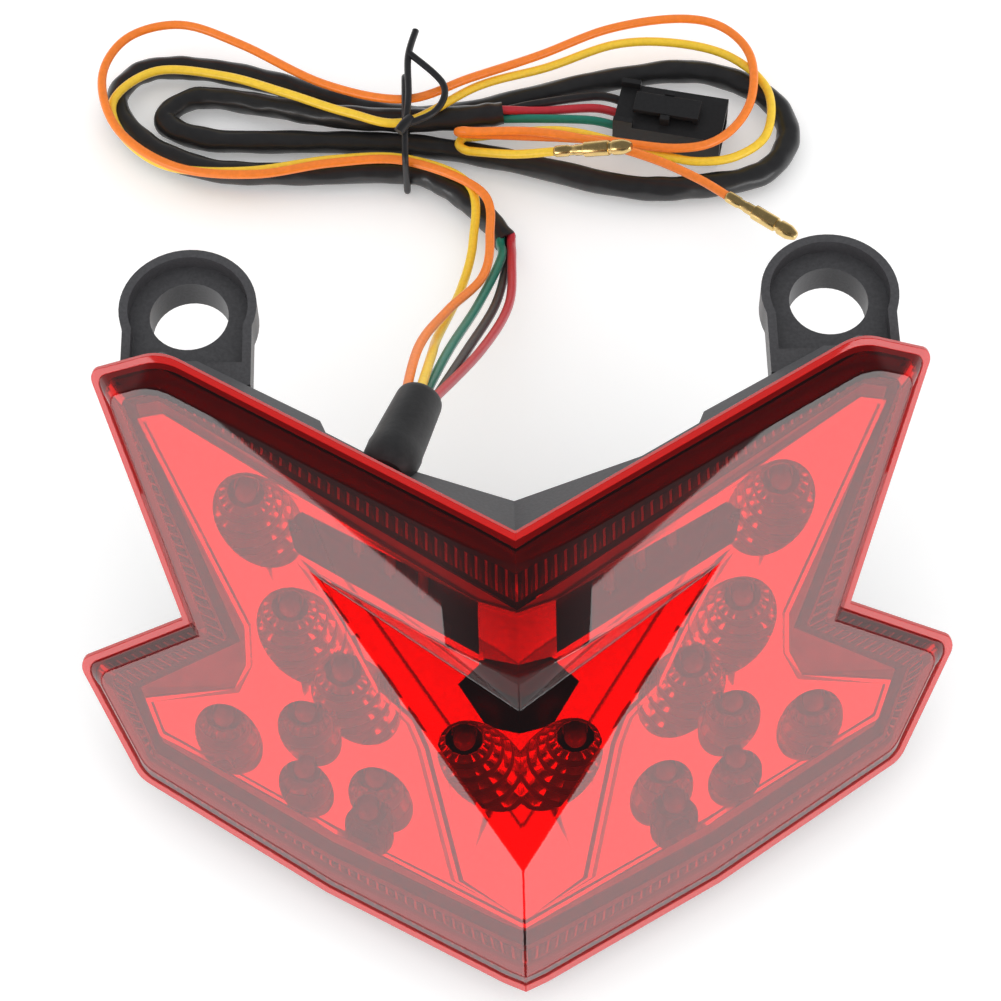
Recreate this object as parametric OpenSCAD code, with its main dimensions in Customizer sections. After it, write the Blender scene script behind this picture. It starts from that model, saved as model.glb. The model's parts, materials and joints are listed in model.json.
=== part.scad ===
// Motorcycle tail light: red wrap-round lens on a black housing with two mounting ears,
// chromed reflector, LEDs on three boards, and a harness with a plug and two bullet leads.
// Row frame: +X right, +Y forward on the bike, +Z up and parallel to the ear bores, with the origin
// midway between the two ear bores. The modules work in a bench frame with the same axes, whose
// origin is on the floor below the lip, and placed() moves each node from one to the other.
// The lamp frame has u to the right, a up across the LED axes and h out along the LED axes.
// A "level" is a depth below the lens face, measured along -h.

/* [Lens] */
// Half width of the lens flange at the wing tips
wing_half_w = 100; // [96:1:104]
// Height of the top edge at the centre notch above the lip
notch_a = 30; // [28:1:32]
// Height of the top inner corner above the lip
shoulder_a = 55; // [53:1:57]
// Depth of the bottom tip below the lip
chin_a = 70; // [68:1:72]
// Sideways sweep of each lens face
sweep_angle = 22; // [20:1:23]
// Tilt of the lens face up from the LED axes
rake_angle = 16; // [15:1:17]
// Wall thickness of the lens
lens_t = 2.2; // [2:0.1:2.6]
// Height of the lens wall from face to flange
lens_wall = 6; // [5.5:0.25:6.5]
// Depth of the triangular recess under the lip
recess_depth = 5; // [4:0.5:5]

/* [Housing] */
// Overall depth from the lens face to the back of the housing
housing_level = 26.5; // [26:0.5:28]
// Wall thickness of the housing
housing_t = 2; // [1.8:0.1:2.2]
// Tilt of the LED axes up from the horizontal
aim_angle = 30; // [28:1:32]
// Height of the lip above the floor
lip_z = 62; // [61:0.5:64]

/* [Ears] */
// Sideways distance of each ear bore from the centre
ear_x = 72; // [71:0.5:73]
// Forward distance of the ear bores
ear_y = 91; // [90.5:0.5:92]
// Diameter of the ear bores
ear_bore_d = 17.8; // [17:0.1:18.4]
// Outer diameter of each ear
ear_d = 31; // [30:0.5:32]
// Thickness of each ear along its bore
ear_t = 8; // [7:0.5:9]

/* [LEDs] */
// Diameter of each LED dome
led_d = 5; // [4.8:0.1:5.2]
// Diameter of the LED hole in each reflector cup
led_hole_d = 8.4; // [8:0.1:9]

/* [Harness] */
// Outer diameter of each wire
wire_d = 2.3; // [2:0.1:2.4]
// Outer diameter of the harness sleeve
sleeve_d = 6; // [5.6:0.1:6.2]
// Diameter of the bullet terminals
bullet_d = 3.9; // [3.5:0.1:4]
// Length of the plug
plug_l = 28; // [26:1:30]
// Width of the plug
plug_w = 14; // [13:0.5:15]
// Height of the plug
plug_h = 10; // [9:0.5:11]

/* [Hidden] */
$fn = 48;

rake_slope = tan(rake_angle);
sweep_slope = tan(sweep_angle) / cos(rake_angle);
eps = 0.01;

// Levels of the layers, from the lens face back.
flange_t = 1.4;
seal_t = 0.7;
rim_level = lens_wall + 1;
plate_t = 1.5;
cup_level = 14;
cup_floor_t = 0.8;
board_level = 20;
board_t = 1.6;
centre_board_level = 17.5;
back_level = housing_level - housing_t;

// ---------------------------------------------------------------- outlines
// Half outlines run clockwise from the top notch at u = 0 to the bottom tip at u = 0.
flange_half = [
    [0, notch_a], [76.5, shoulder_a], [93.5, shoulder_a - 7], [74.5, -3],
    [wing_half_w, -17.5], [86.5, -41.5], [44, -58], [5, -chin_a + 0.9], [0, -chin_a]
];
// How far the lens wall leans in from the flange, edge by edge.
wall_lean = [5.4, 4, 3.6, 2.2, 4.5, 6.1, 6.1, 6.1];
reflector_half = [
    [0, 12.5], [8.6, 13.3], [76.5, 41], [82.5, 39], [60, -2.5], [60, -11], [63, -17],
    [84, -23.5], [81, -31.5], [41, -45], [0, -56.5]
];
// Dark windows in the reflector, one each side of the pillar.
window_half = [[8.2, 13.2], [46, 25], [49.5, 20], [48, 16], [8.2, 1.5]];
// Opening for the underside of the lens recess.
recess_opening = [[-7, 1], [7, 1], [13, -6], [7, -14], [-7, -14], [-13, -6]];
board_half = [
    [49, 28], [72, 34], [66, 16], [57, -2], [58, -14], [64, -20], [77, -25],
    [74, -33], [40, -44], [27, -47], [20, -38], [30, -14], [40, 6]
];
centre_board_half = [[0, 12], [12, 14], [38, 23], [43, 17], [14, 1], [17, -16], [7, -34], [0, -36]];

function unit(v) = v / norm(v);
function cross2(p, q) = p.x * q.y - p.y * q.x;
function meet(p, s, q, t) = p + s * cross2(q - p, t) / cross2(s, t);
function edge_dir(pts, i) = unit(pts[i + 1] - pts[i]);
function inner_point(pts, i, d) = let (s = edge_dir(pts, i)) pts[i] + [s.y, -s.x] * d;
// Moves each edge of a half outline inwards by its own distance.
function inset_edges(pts, d) = [
    for (i = [0 : len(pts) - 1])
        i == 0 ? meet(inner_point(pts, 0, d[0]), edge_dir(pts, 0), [0, 0], [0, 1])
        : i == len(pts) - 1 ? meet(inner_point(pts, i - 1, d[i - 1]), edge_dir(pts, i - 1), [0, 0], [0, 1])
        : meet(inner_point(pts, i - 1, d[i - 1]), edge_dir(pts, i - 1), inner_point(pts, i, d[i]), edge_dir(pts, i))
];
function inset(pts, d) = inset_edges(pts, [for (i = [0 : len(pts) - 2]) d]);
// The whole outline, from a half that starts and ends at u = 0.
function full(half) = concat(half, [for (i = [len(half) - 2 : -1 : 1]) [-half[i].x, half[i].y]]);
function flip(pts) = [for (i = [len(pts) - 1 : -1 : 0]) [-pts[i].x, pts[i].y]];

lens_top_half = inset_edges(flange_half, wall_lean);
lens_base_half = inset(flange_half, flange_t);

// Height of the lens face, or of a layer below it, at a point of the lamp frame.
function face_h(p, level = 0) = -p.y * rake_slope - abs(p.x) * sweep_slope - level;

// ---------------------------------------------------------------- swept solids
module lamp_frame() translate([0, 0, lip_z]) rotate([90 - aim_angle, 0, 0]) children();

function side_faces(n) = [
    for (i = [0 : n - 1], k = [0, 1]) let (j = (i + 1) % n)
        k == 0 ? [i, i + n, j + n] : [i, j + n, j]
];
// Solid between two outlines whose ends both lie on the swept, raked layers.
module swept_solid(top_half, bottom_half, top_level, bottom_level) {
    top_ring = full(top_half);
    bottom_ring = full(bottom_half);
    n = len(top_ring);
    m = len(top_half);
    points = concat(
        [for (p = top_ring) [p.x, p.y, face_h(p, top_level)]],
        [for (p = bottom_ring) [p.x, p.y, face_h(p, bottom_level)]]
    );
    right = [for (i = [0 : m - 1]) i];
    left = concat([for (i = [m - 1 : n - 1]) i], [0]);
    polyhedron(points, concat(
        [right, left],
        [[for (i = [m - 1 : -1 : 0]) i + n], concat([n], [for (i = [n - 1 : -1 : m - 1]) i + n])],
        side_faces(n)
    ), convexity = 8);
}
face_tilt = atan(norm([sweep_slope, rake_slope]));
// Slab that follows the right-hand side of the lens face between two levels.
module face_slab(top_level, bottom_level) {
    thick = (bottom_level - top_level) * cos(face_tilt);
    reach = 150;
    translate([0, 0, -top_level]) rotate(face_tilt, [-rake_slope, sweep_slope, 0])
        translate([-reach, -reach, -thick]) cube([2 * reach, 2 * reach, thick]);
}
// Plate on the right-hand side only, cut square to the LED axes at its edges.
module side_plate(pts, top_level, bottom_level) intersection() {
    linear_extrude(200, center = true) polygon(pts);
    face_slab(top_level, bottom_level);
}
// Ridged plate with the outline of a half that starts and ends at u = 0.
module ridged_plate(half, top_level, bottom_level) for (side = [0, 1]) mirror([side, 0, 0])
    side_plate(half, top_level, bottom_level);
// Turns children from straight up to the normal of a side face, at a point of that face.
module on_face(p, level) {
    side = sign(p.x);
    translate([p.x, p.y, face_h(p, level)]) rotate(face_tilt, [-rake_slope, side * sweep_slope, 0]) children();
}

// ---------------------------------------------------------------- lens
recess_side = [44, 15.5];
recess_apex = [0, -40];
recess_step = [0, -7.9];
// Triangular recess below the lip: a steep step at the top, then two facets rising to the apex.
module recess_cutter() {
    corners = [recess_side, [0, 0], [-recess_side.x, recess_side.y], recess_apex];
    over = 1;
    points = concat(
        [for (p = corners) [p.x, p.y, face_h(p, -over)]],
        [for (p = corners) [p.x, p.y, face_h(p, 0)]],
        [[recess_step.x, recess_step.y, face_h(recess_step, recess_depth)]]
    );
    polyhedron(points, [
        [0, 3, 1], [1, 3, 2],
        [0, 1, 5], [0, 5, 4], [1, 2, 6], [1, 6, 5], [2, 3, 7], [2, 7, 6], [3, 0, 4], [3, 4, 7],
        [4, 5, 8], [5, 6, 8], [6, 7, 8], [7, 4, 8]
    ]);
}
module lens() color([0.85, 0.05, 0.05, 0.75]) lamp_frame() difference() {
    union() {
        swept_solid(lens_top_half, lens_base_half, 0, lens_wall);
        swept_solid(flange_half, flange_half, lens_wall - flange_t, lens_wall);
    }
    difference() {
        swept_solid(inset(lens_top_half, lens_t), inset(lens_base_half, lens_t), lens_t, lens_wall + eps);
        translate([0, 0, -lens_t]) recess_cutter();
    }
    recess_cutter();
}

seal_gap = 0.05;
module lens_seal() color("dimgray") lamp_frame() difference() {
    swept_solid(inset(flange_half, 1.8), inset(flange_half, 1.8), lens_wall + seal_gap, lens_wall + seal_t);
    swept_solid(inset(flange_half, 3.4), inset(flange_half, 3.4), lens_wall - 1, lens_wall + seal_t + 1);
}

// ---------------------------------------------------------------- housing
housing_rim_level = lens_wall + seal_t + seal_gap;
housing_flange_t = 2;
housing_edge = 1.6;
housing_inset = 3;
// How far the housing walls lean in from the flange at the back, edge by edge.
housing_lean = [3, 14, 4, 15, 4, 4, 4, 4];
shallow_band = 10;
// The back of the shallow band along the top edge, as points of u and h.
band_back = [[0, -32.6], [39, -36], [42, -46], [70, -59]];
band_edge_slope = (shoulder_a - notch_a) / flange_half[1].x;
boot_u = 26;
boot_a = 33;

module band_region(depth) linear_extrude(200, center = true) polygon([
    [-110, notch_a + 110 * band_edge_slope - depth], [0, notch_a - depth],
    [110, notch_a + 110 * band_edge_slope - depth], [110, 120], [-110, 120]
]);
// What lies on the far side of the shallow band's inner edge.
module band_step() linear_extrude(200, center = true) polygon([
    [-110, notch_a + 110 * band_edge_slope - shallow_band + 0.1], [0, notch_a - shallow_band + 0.1],
    [0, -60], [-110, -60]
]);
// Everything behind the shallow band, which grows forwards by the wall for the cavity.
module band_space(wall) intersection() {
    band_region(shallow_band + wall);
    rotate([90, 0, 0]) linear_extrude(300, center = true) polygon(concat(
        [for (p = band_back) [p.x, p.y + wall]], [[120, -82 + wall], [120, -150], [-120, -150], [-120, -82 + wall]],
        [for (i = [len(band_back) - 1 : -1 : 1]) [-band_back[i].x, band_back[i].y + wall]]
    ));
}
ear_top_z = 74;
bore_base_z = 62;
foot_in = ear_x - 14.5;
foot_out = ear_x + 14.5;
foot_rise = 8;
pocket_depth = 4;
rim_t = 2;
tube_t = 2;
// One ear: a rimmed ring with a tube round its bore, and the arm that joins it to the back of the housing.
module ear(side) {
    mirror([side < 0 ? 1 : 0, 0, 0]) {
        difference() {
            union() {
                translate([ear_x, ear_y, ear_top_z - ear_t]) cylinder(d = ear_d, h = ear_t);
                translate([foot_in, ear_y - 21, ear_top_z - ear_t]) cube([foot_out - foot_in, 21, ear_t]);
            }
            translate([ear_x, ear_y, ear_top_z - pocket_depth]) cylinder(d = ear_d - 2 * rim_t, h = ear_t);
            translate([foot_in + rim_t, ear_y - 15, ear_top_z - pocket_depth])
                cube([foot_out - foot_in - 2 * rim_t, 15, ear_t]);
        }
        translate([ear_x, ear_y, bore_base_z]) cylinder(d = ear_bore_d + 2 * tube_t, h = ear_t);
        intersection() {
            translate([foot_in, ear_y - 33, ear_top_z - ear_t]) cube([foot_out - foot_in, 18, ear_t + foot_rise]);
            lamp_frame() swept_solid(inset(flange_half, housing_inset + 1), inset(flange_half, housing_inset + 1),
                housing_rim_level + 1, housing_rim_level + 30);
        }
    }
}
board_holes = [[64, 28], [70, -31]];
centre_hole = [5, 8];
boss_d = 5;
screw_d = 2;
// One boss under a board, square to the board, rooted in the back wall.
module boss(p, under_level, d) {
    root = (back_level + 1 - under_level) * cos(face_tilt);
    on_face(p, under_level) translate([0, 0, -root]) cylinder(d = d, h = root - board_t * cos(face_tilt));
}
module bosses(d) {
    for (p = board_holes, side = [-1, 1]) boss([p.x * side, p.y], board_level, d);
    boss(centre_hole, centre_board_level, d);
}
module wire_exit(d) translate([-boot_u, boot_a - 1, -40]) cylinder(d = d, h = 12);
module housing() color([0.13, 0.13, 0.14]) difference() {
    union() {
        lamp_frame() difference() {
            union() {
                swept_solid(inset(flange_half, housing_edge), inset(flange_half, housing_edge),
                    housing_rim_level, housing_rim_level + housing_flange_t);
                swept_solid(inset(flange_half, housing_inset), inset_edges(flange_half, housing_lean),
                    housing_rim_level, housing_level);
            }
            band_space(0);
        }
        for (side = [-1, 1]) ear(side);
    }
    lamp_frame() difference() {
        swept_solid(inset(flange_half, housing_inset + housing_t),
            inset_edges(flange_half, [for (d = housing_lean) d + housing_t]), housing_rim_level - 1, back_level);
        band_space(housing_t);
        bosses(boss_d);
    }
    lamp_frame() {
        bosses(screw_d + 0.2);
        wire_exit(5.4);
    }
    for (side = [-1, 1]) translate([side * ear_x, ear_y, bore_base_z - 1]) cylinder(d = ear_bore_d, h = ear_t + 2);
}

// ---------------------------------------------------------------- reflector and LEDs
brake_spots = [[59, 23.5], [50, 0], [38.5, -12], [47.5, -23]];
turn_spots = [[66.5, -28], [48.3, -36], [32, -34.5], [34, -42.5]];
centre_spots = [[12, -20]];
brake_cup_r = [9.2, 9.5, 9, 7];
turn_cup_r = [7.5, 6.2, 7, 5.5];
centre_cup_r = [8];
centre_drop = 3;

cup_sides = 12;
// One reflector cup: a twelve-sided cone along the LED axis, floored at cup_level.
module cup(p, r, wall, drop) {
    floor_h = face_h(p, cup_level - drop);
    depth = cup_level - drop - rim_level;
    lean = (r - led_hole_d / 2) / depth;
    reach = depth + 6;
    translate([p.x, p.y, floor_h - (wall > 0 ? cup_floor_t : 0)])
        cylinder(r1 = led_hole_d / 2 + wall, r2 = led_hole_d / 2 + lean * reach + wall, h = reach, $fn = cup_sides);
}
module cups(wall) for (side = [-1, 1]) {
    for (i = [0 : 3]) cup([side * brake_spots[i].x, brake_spots[i].y], brake_cup_r[i], wall, 0);
    for (i = [0 : 3]) cup([side * turn_spots[i].x, turn_spots[i].y], turn_cup_r[i], wall, 0);
    cup([side * centre_spots[0].x, centre_spots[0].y], centre_cup_r[0], wall, centre_drop);
}
module led_holes() for (side = [-1, 1]) {
    for (p = concat(brake_spots, turn_spots)) translate([side * p.x, p.y, face_h(p, cup_level + 3)])
        cylinder(d = led_hole_d - 0.8, h = 6);
    translate([side * centre_spots[0].x, centre_spots[0].y, face_h(centre_spots[0], cup_level)])
        cylinder(d = led_hole_d - 0.8, h = 6);
}
module reflector() color("gainsboro") lamp_frame() difference() {
    union() {
        ridged_plate(reflector_half, rim_level, rim_level + plate_t);
        intersection() {
            cups(1);
            linear_extrude(200, center = true) polygon(full(reflector_half));
        }
    }
    for (side = [0, 1]) mirror([side, 0, 0]) face_slab(rim_level - 20, rim_level);
    cups(0);
    led_holes();
    linear_extrude(200, center = true) {
        polygon(window_half);
        polygon(flip(window_half));
        polygon(recess_opening);
    }
}

led_h = 6.5;
// One LED: flanged body, dome and two leads reaching its board.
module led(p, tip_level, to_level) {
    rim_h = 1;
    translate([p.x, p.y, face_h(p, tip_level + led_h)]) {
        cylinder(d = led_d + 0.8, h = rim_h);
        cylinder(d = led_d, h = led_h - led_d / 2);
        translate([0, 0, led_h - led_d / 2]) sphere(d = led_d);
        for (x = [-1.27, 1.27]) {
            drop = to_level - tip_level - led_h + 2.2;
            translate([x, 0, -drop]) cylinder(d = 0.5, h = drop + 0.5, $fn = 16);
        }
    }
}
module led_group(spots, side) for (p = spots) led([side * p.x, p.y], cup_level - 2.5, board_level);
module brake_leds_left() color([0.8, 0.2, 0.2]) lamp_frame() led_group(brake_spots, -1);
module brake_leds_right() color([0.8, 0.2, 0.2]) lamp_frame() led_group(brake_spots, 1);
module turn_leds_left() color([0.9, 0.5, 0.2]) lamp_frame() led_group(turn_spots, -1);
module turn_leds_right() color([0.9, 0.5, 0.2]) lamp_frame() led_group(turn_spots, 1);
module centre_leds() color([0.8, 0.2, 0.2]) lamp_frame() for (side = [-1, 1])
    led([side * centre_spots[0].x, centre_spots[0].y], cup_level - centre_drop - 2.5, centre_board_level);

// ---------------------------------------------------------------- boards
// Holes that the LED leads pass through, and the screw holes.
module side_board(side) difference() {
    mirror([side < 0 ? 1 : 0, 0, 0]) side_plate(board_half, board_level, board_level + board_t);
    for (p = concat(brake_spots, turn_spots), x = [-1.27, 1.27])
        translate([side * p.x + x, p.y, face_h(p, board_level + 6)]) cylinder(d = 1, h = 12, $fn = 16);
    for (p = board_holes) on_face([side * p.x, p.y], board_level)
        cylinder(d = screw_d + 0.6, h = 8, center = true);
}
module board_left() color("darkgreen") lamp_frame() side_board(-1);
module board_right() color("darkgreen") lamp_frame() side_board(1);
module board_centre() color("darkgreen") lamp_frame() difference() {
    ridged_plate(centre_board_half, centre_board_level, centre_board_level + board_t);
    for (side = [-1, 1], x = [-1.27, 1.27])
        translate([side * centre_spots[0].x + x, centre_spots[0].y, face_h(centre_spots[0], centre_board_level + 6)])
            cylinder(d = 1, h = 12, $fn = 16);
    on_face(centre_hole, centre_board_level) cylinder(d = screw_d + 0.6, h = 8, center = true);
}
resistor_spots = [[20, 10.5], [27, 13.5], [34, 17]];
module resistors() color("tan") lamp_frame() for (side = [-1, 1], p = resistor_spots)
    on_face([side * p.x, p.y], centre_board_level - 1.5) rotate([90, 0, 0]) {
        cylinder(d = 2.3, h = 6, center = true);
        cylinder(d = 0.5, h = 8, center = true, $fn = 16);
    }
diode_spots = [[50, 15], [53, -14]];
module diodes() color("black") lamp_frame() for (side = [-1, 1], p = diode_spots)
    on_face([side * p.x, p.y], board_level - 1.3) rotate([0, 90, 0]) {
        cylinder(d = 2, h = 4, center = true);
        cylinder(d = 0.5, h = 6, center = true, $fn = 16);
    }
screw_l = 5;
module screw() {
    translate([0, 0, 0.05]) cylinder(d = 4, h = 1.4);
    translate([0, 0, -screw_l + 0.5]) cylinder(d = screw_d, h = screw_l);
}
module board_screws() color("silver") lamp_frame() {
    for (side = [-1, 1], p = board_holes) on_face([side * p.x, p.y], board_level) screw();
    on_face(centre_hole, centre_board_level) screw();
}

// ---------------------------------------------------------------- wires
// Smooth curve through waypoints.
function blend_point(a, b, c, d, t) = 0.5 * (2 * b + (c - a) * t + (2 * a - 5 * b + 4 * c - d) * t * t
    + (3 * b - a - 3 * c + d) * t * t * t);
function smooth(p, steps) = let (last = len(p) - 1) concat(
    [for (i = [0 : last - 1], k = [0 : steps - 1])
        blend_point(p[max(i - 1, 0)], p[i], p[i + 1], p[min(i + 2, last)], k / steps)],
    [p[last]]
);
function tangent(p, i) = unit(p[min(i + 1, len(p) - 1)] - p[max(i - 1, 0)]);
// Round tube along a path that never runs straight up.
module tube(path, d, sides = 8) {
    n = len(path);
    r = d / 2;
    points = [for (i = [0 : n - 1]) let (t = tangent(path, i), s = unit(cross(t, [0, 0, 1])), w = cross(s, t))
        for (k = [0 : sides - 1]) path[i] + r * (cos(360 * k / sides) * s + sin(360 * k / sides) * w)];
    walls = [for (i = [0 : n - 2], k = [0 : sides - 1], half = [0, 1])
        let (a = i * sides + k, b = i * sides + (k + 1) % sides)
        half == 0 ? [a, b, b + sides] : [a, b + sides, a + sides]];
    polyhedron(points, concat(
        walls,
        [[for (k = [sides - 1 : -1 : 0]) k], [for (k = [0 : sides - 1]) (n - 1) * sides + k]]
    ), convexity = 12);
}

// Levels of the coil above the floor: sleeve, then yellow, then orange, then the orange lead.
sleeve_z = 4.2;
yellow_z = 8.7;
orange_z = 11.3;
orange_lead_z = 14.4;
function at_z(z, pts) = [for (p = pts) [p.x, p.y, z]];

boot_mouth = [-20, 67.5, 71];
boot_root = [-26, 50.5, 74.6];
boot_dir = unit(boot_mouth - boot_root);
// Gap between the boot and the wires, which tilt when the harness is lifted.
wire_clear = 3;
// Start of each wire at the mouth of the boot, spread across it.
function at_mouth(across, up) = boot_mouth + wire_clear * boot_dir + [across, 0, up];

yellow_path = concat(
    [at_mouth(0.2, 2.5), [-18, 90.5, 52.4], [-16.8, 104.5, 38.7], [-11.5, 132.5, 16.6], [-8.3, 152, 9.2]],
    at_z(yellow_z, [
        [-9, 170], [-25, 178.6], [-44, 179], [-66, 176], [-86, 178], [-98, 188], [-101, 200], [-90, 209]
    ]),
    [[-72, 206, 9.6], [-56, 198, 12.2], [-40, 190.5, 13.2], [-25, 187, 13.2], [-6, 198.5, 12.6]],
    at_z(yellow_z, [
        [12, 207], [30, 214], [46, 214], [60, 209], [69, 198], [68, 184], [60, 177], [50, 175.5], [40, 178],
        [30, 182], [14, 186.5], [-8, 185]
    ])
);
orange_path = concat(
    [at_mouth(-3.1, -0.3), [-20.9, 91.5, 54.4], [-14.6, 112.5, 37.3], [-6, 133.5, 20.6], [-4, 150, 14.2]],
    at_z(orange_z, [
        [-6, 166], [-25, 176], [-44, 176], [-64, 173], [-84, 176], [-99, 188], [-104, 205], [-98, 218],
        [-84, 222], [-68, 215]
    ]),
    [[-46, 200, 13], [-25, 192.5, 15.6], [-8, 199, 15.4]],
    at_z(orange_z, [
        [10, 209], [28, 217], [46, 220], [58, 217], [65, 207], [64, 192], [56, 181], [44, 178], [22, 181.5],
        [-8, 184]
    ])
);
sleeve_path = concat(
    [[0, 155, 4.4]],
    at_z(sleeve_z, [
        [-5, 163], [-14, 172], [-25, 177.4], [-54, 178], [-76, 180], [-93, 189], [-101, 202], [-95, 212],
        [-81, 213], [-61, 208], [-44, 201], [-25, 195.6], [-7, 197], [24, 205], [50, 208], [68, 200],
        [74, 187], [67, 175], [50, 171], [31, 171.5], [0, 181], [-25, 186.4], [-48, 188], [-76, 189.5],
        [-88, 196]
    ]),
    [[-80, 203, 4.4], [-62, 199.5, 5.2], [-44, 193, 8.6], [-25, 191, 8.6], [-10, 191.5, 8.6], [0, 192.5, 8.6]]
);
plug_centre = [43.5, 190.5, 0];
plug_turn = -13;
// A point of the plug's own frame, x along the plug and y across it, in the world frame.
function on_plug(x, y, z) = plug_centre
    + [x * cos(plug_turn) - y * sin(plug_turn), x * sin(plug_turn) + y * cos(plug_turn), z];
wire_gap = 0.3;
function plug_wire_path(y_sleeve, y_plug) = [
    [0.8, y_sleeve, 8.6], [10, y_sleeve + 1, 8.4], on_plug(-plug_l / 2 - 6, y_plug, 6.5),
    on_plug(-plug_l / 2 - wire_gap, y_plug, 5.5)
];
// Pigtail wires drop from the boot to the open end of the sleeve.
function pigtail_path(across, up, bow, end_x, end_z) = [
    at_mouth(across, up), [-13 + bow, 96, 45], [-6 + bow, 122, 25], [end_x, 145, 10 + end_z],
    [end_x, 152.8, 5 + end_z]
];
steps = 4;
module wire_yellow() color("gold") tube(smooth(yellow_path, steps), wire_d);
module wire_orange() color("darkorange") tube(smooth(orange_path, steps), wire_d);
module harness_sleeve() color([0.08, 0.08, 0.08]) tube(smooth(sleeve_path, steps), sleeve_d, 12);
module wire_black() color([0.1, 0.1, 0.1]) {
    tube(smooth(pigtail_path(2.2, -2.2, 2.9, -0.1, -1.5), steps), wire_d);
    tube(smooth(plug_wire_path(194.6, 4), steps), wire_d);
}
module wire_red() color("crimson") {
    tube(smooth(pigtail_path(3.1, 1.5, 6.2, 1.35, 1.2), steps), wire_d);
    tube(smooth(plug_wire_path(192.1, 0), steps), wire_d);
}
module wire_green() color("teal") {
    tube(smooth(pigtail_path(-0.3, -2.8, -1.4, -1.4, 1.25), steps), wire_d);
    tube(smooth(plug_wire_path(189.6, -4), steps), wire_d);
}

module inner_wires() color("crimson") lamp_frame() for (k = [0 : 4])
    let (x = -boot_u + 1.6 * cos(72 * k), y = boot_a - 1 + 1.6 * sin(72 * k))
        translate([x, y, -38]) cylinder(d = 1.6, h = 8, $fn = 16);

boot_d = 12;
boot_mouth_d = 9.4;
boot_collar_t = 1.6;
boot_seat_h = -35.5;
module wire_boot() color([0.11, 0.11, 0.12]) difference() {
    union() {
        hull() {
            translate(boot_root) sphere(d = boot_d - 1, $fn = 32);
            translate(boot_mouth - boot_dir * (boot_mouth_d / 2)) sphere(d = boot_mouth_d, $fn = 32);
        }
        lamp_frame() translate([-boot_u, boot_a, boot_seat_h - boot_collar_t]) cylinder(d = boot_d, h = boot_collar_t);
    }
    lamp_frame() {
        translate([-boot_u, boot_a, boot_seat_h]) cylinder(d = 40, h = 20);
        wire_exit(5.4);
        band_step();
    }
}

tie_x = -25;
tie_y = [173, 199.4];
tie_top = 17;
tie_bottom = 1;
tie_t = 0.9;
module tie_oval(grow) for (x = [0, 1]) {
    r = 2 + grow;
    translate([tie_y[0] - grow, tie_bottom - grow + r])
        square([tie_y[1] - tie_y[0] + 2 * grow, tie_top - tie_bottom + 2 * grow - 2 * r]);
    translate([tie_y[0] - grow + r, tie_bottom - grow])
        square([tie_y[1] - tie_y[0] + 2 * grow - 2 * r, tie_top - tie_bottom + 2 * grow]);
    for (y = [tie_y[0] - grow + r, tie_y[1] + grow - r], z = [tie_bottom - grow + r, tie_top + grow - r])
        translate([y, z]) circle(r);
}
module twist_tie() color([0.08, 0.08, 0.08]) {
    translate([tie_x - 0.9, 0, 0]) rotate([90, 0, 90]) linear_extrude(1.8) difference() {
        tie_oval(tie_t);
        tie_oval(0);
    }
    tube(smooth([[-25, 181, 18.3], [-24, 191, 19], [-24, 203, 19.4], [-22, 212, 19]], steps), 1.8);
    tube(smooth([[-25, 182, 18.6], [-17, 186, 19], [-15, 194, 19.4], [-23.6, 204, 19.8]], steps), 1.8);
}

// ---------------------------------------------------------------- plug
plug_wall = 1.4;
cavity_d = 3.4;
pivot_x = -1;
latch_l = 17;
latch_w = 6;
latch_t = 1.3;
latch_gap = 1.4;
module in_plug() translate(plug_centre) rotate([0, 0, plug_turn]) children();
module plug_housing() color([0.1, 0.1, 0.1]) in_plug() difference() {
    union() {
        translate([-plug_l / 2, -plug_w / 2, 0]) cube([plug_l, plug_w, plug_h]);
        for (y = [-1, 1]) translate([-plug_l / 2, y * (plug_w / 2 - 0.7) - 0.7, plug_h - eps])
            cube([5, 1.4, 2.2]);
        for (y = [-1, 1]) translate([pivot_x - 1.2, y * (latch_w / 2 + 1) - 0.7, plug_h - eps])
            cube([2.4, 1.4, latch_gap + 1.4]);
    }
    translate([plug_l / 2 - 9, -plug_w / 2 + plug_wall, plug_wall])
        cube([10, plug_w - 2 * plug_wall, plug_h - 2 * plug_wall]);
    for (y = [-4, 0, 4]) translate([-plug_l / 2 - 1, y, 5.5]) rotate([0, 90, 0])
        cylinder(d = cavity_d, h = plug_l - 6);
}
// Sprung latch: pressing its tail lifts its hook.
module plug_latch() color([0.14, 0.14, 0.14]) in_plug() translate([0, 0, plug_h + latch_gap]) {
    translate([-latch_l / 2 - 1, -latch_w / 2, 0]) cube([latch_l, latch_w, latch_t]);
    translate([latch_l / 2 - 2.4, -latch_w / 2, -0.9]) cube([1.4, latch_w, 1.4]);
    translate([pivot_x, 0, -0.1]) rotate([90, 0, 0]) cylinder(d = 1.6, h = latch_w, center = true);
}
module plug_terminals() color("goldenrod") in_plug() for (y = [-4, 0, 4])
    translate([-plug_l / 2 + 4, y, 5.5]) rotate([0, 90, 0]) {
        cylinder(d = 2.4, h = 13);
        cylinder(d = 1.2, h = 20);
    }

// ---------------------------------------------------------------- bullet leads
yellow_lead_path = [[-7, 179.8, 9.4], [3, 176.8, 12], [13, 174.4, 16]];
orange_lead_path = at_z(orange_lead_z, [[-7, 182.5], [8, 182], [23, 178.5], [38, 172.5], [49, 166], [56, 160.5]]);
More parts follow.
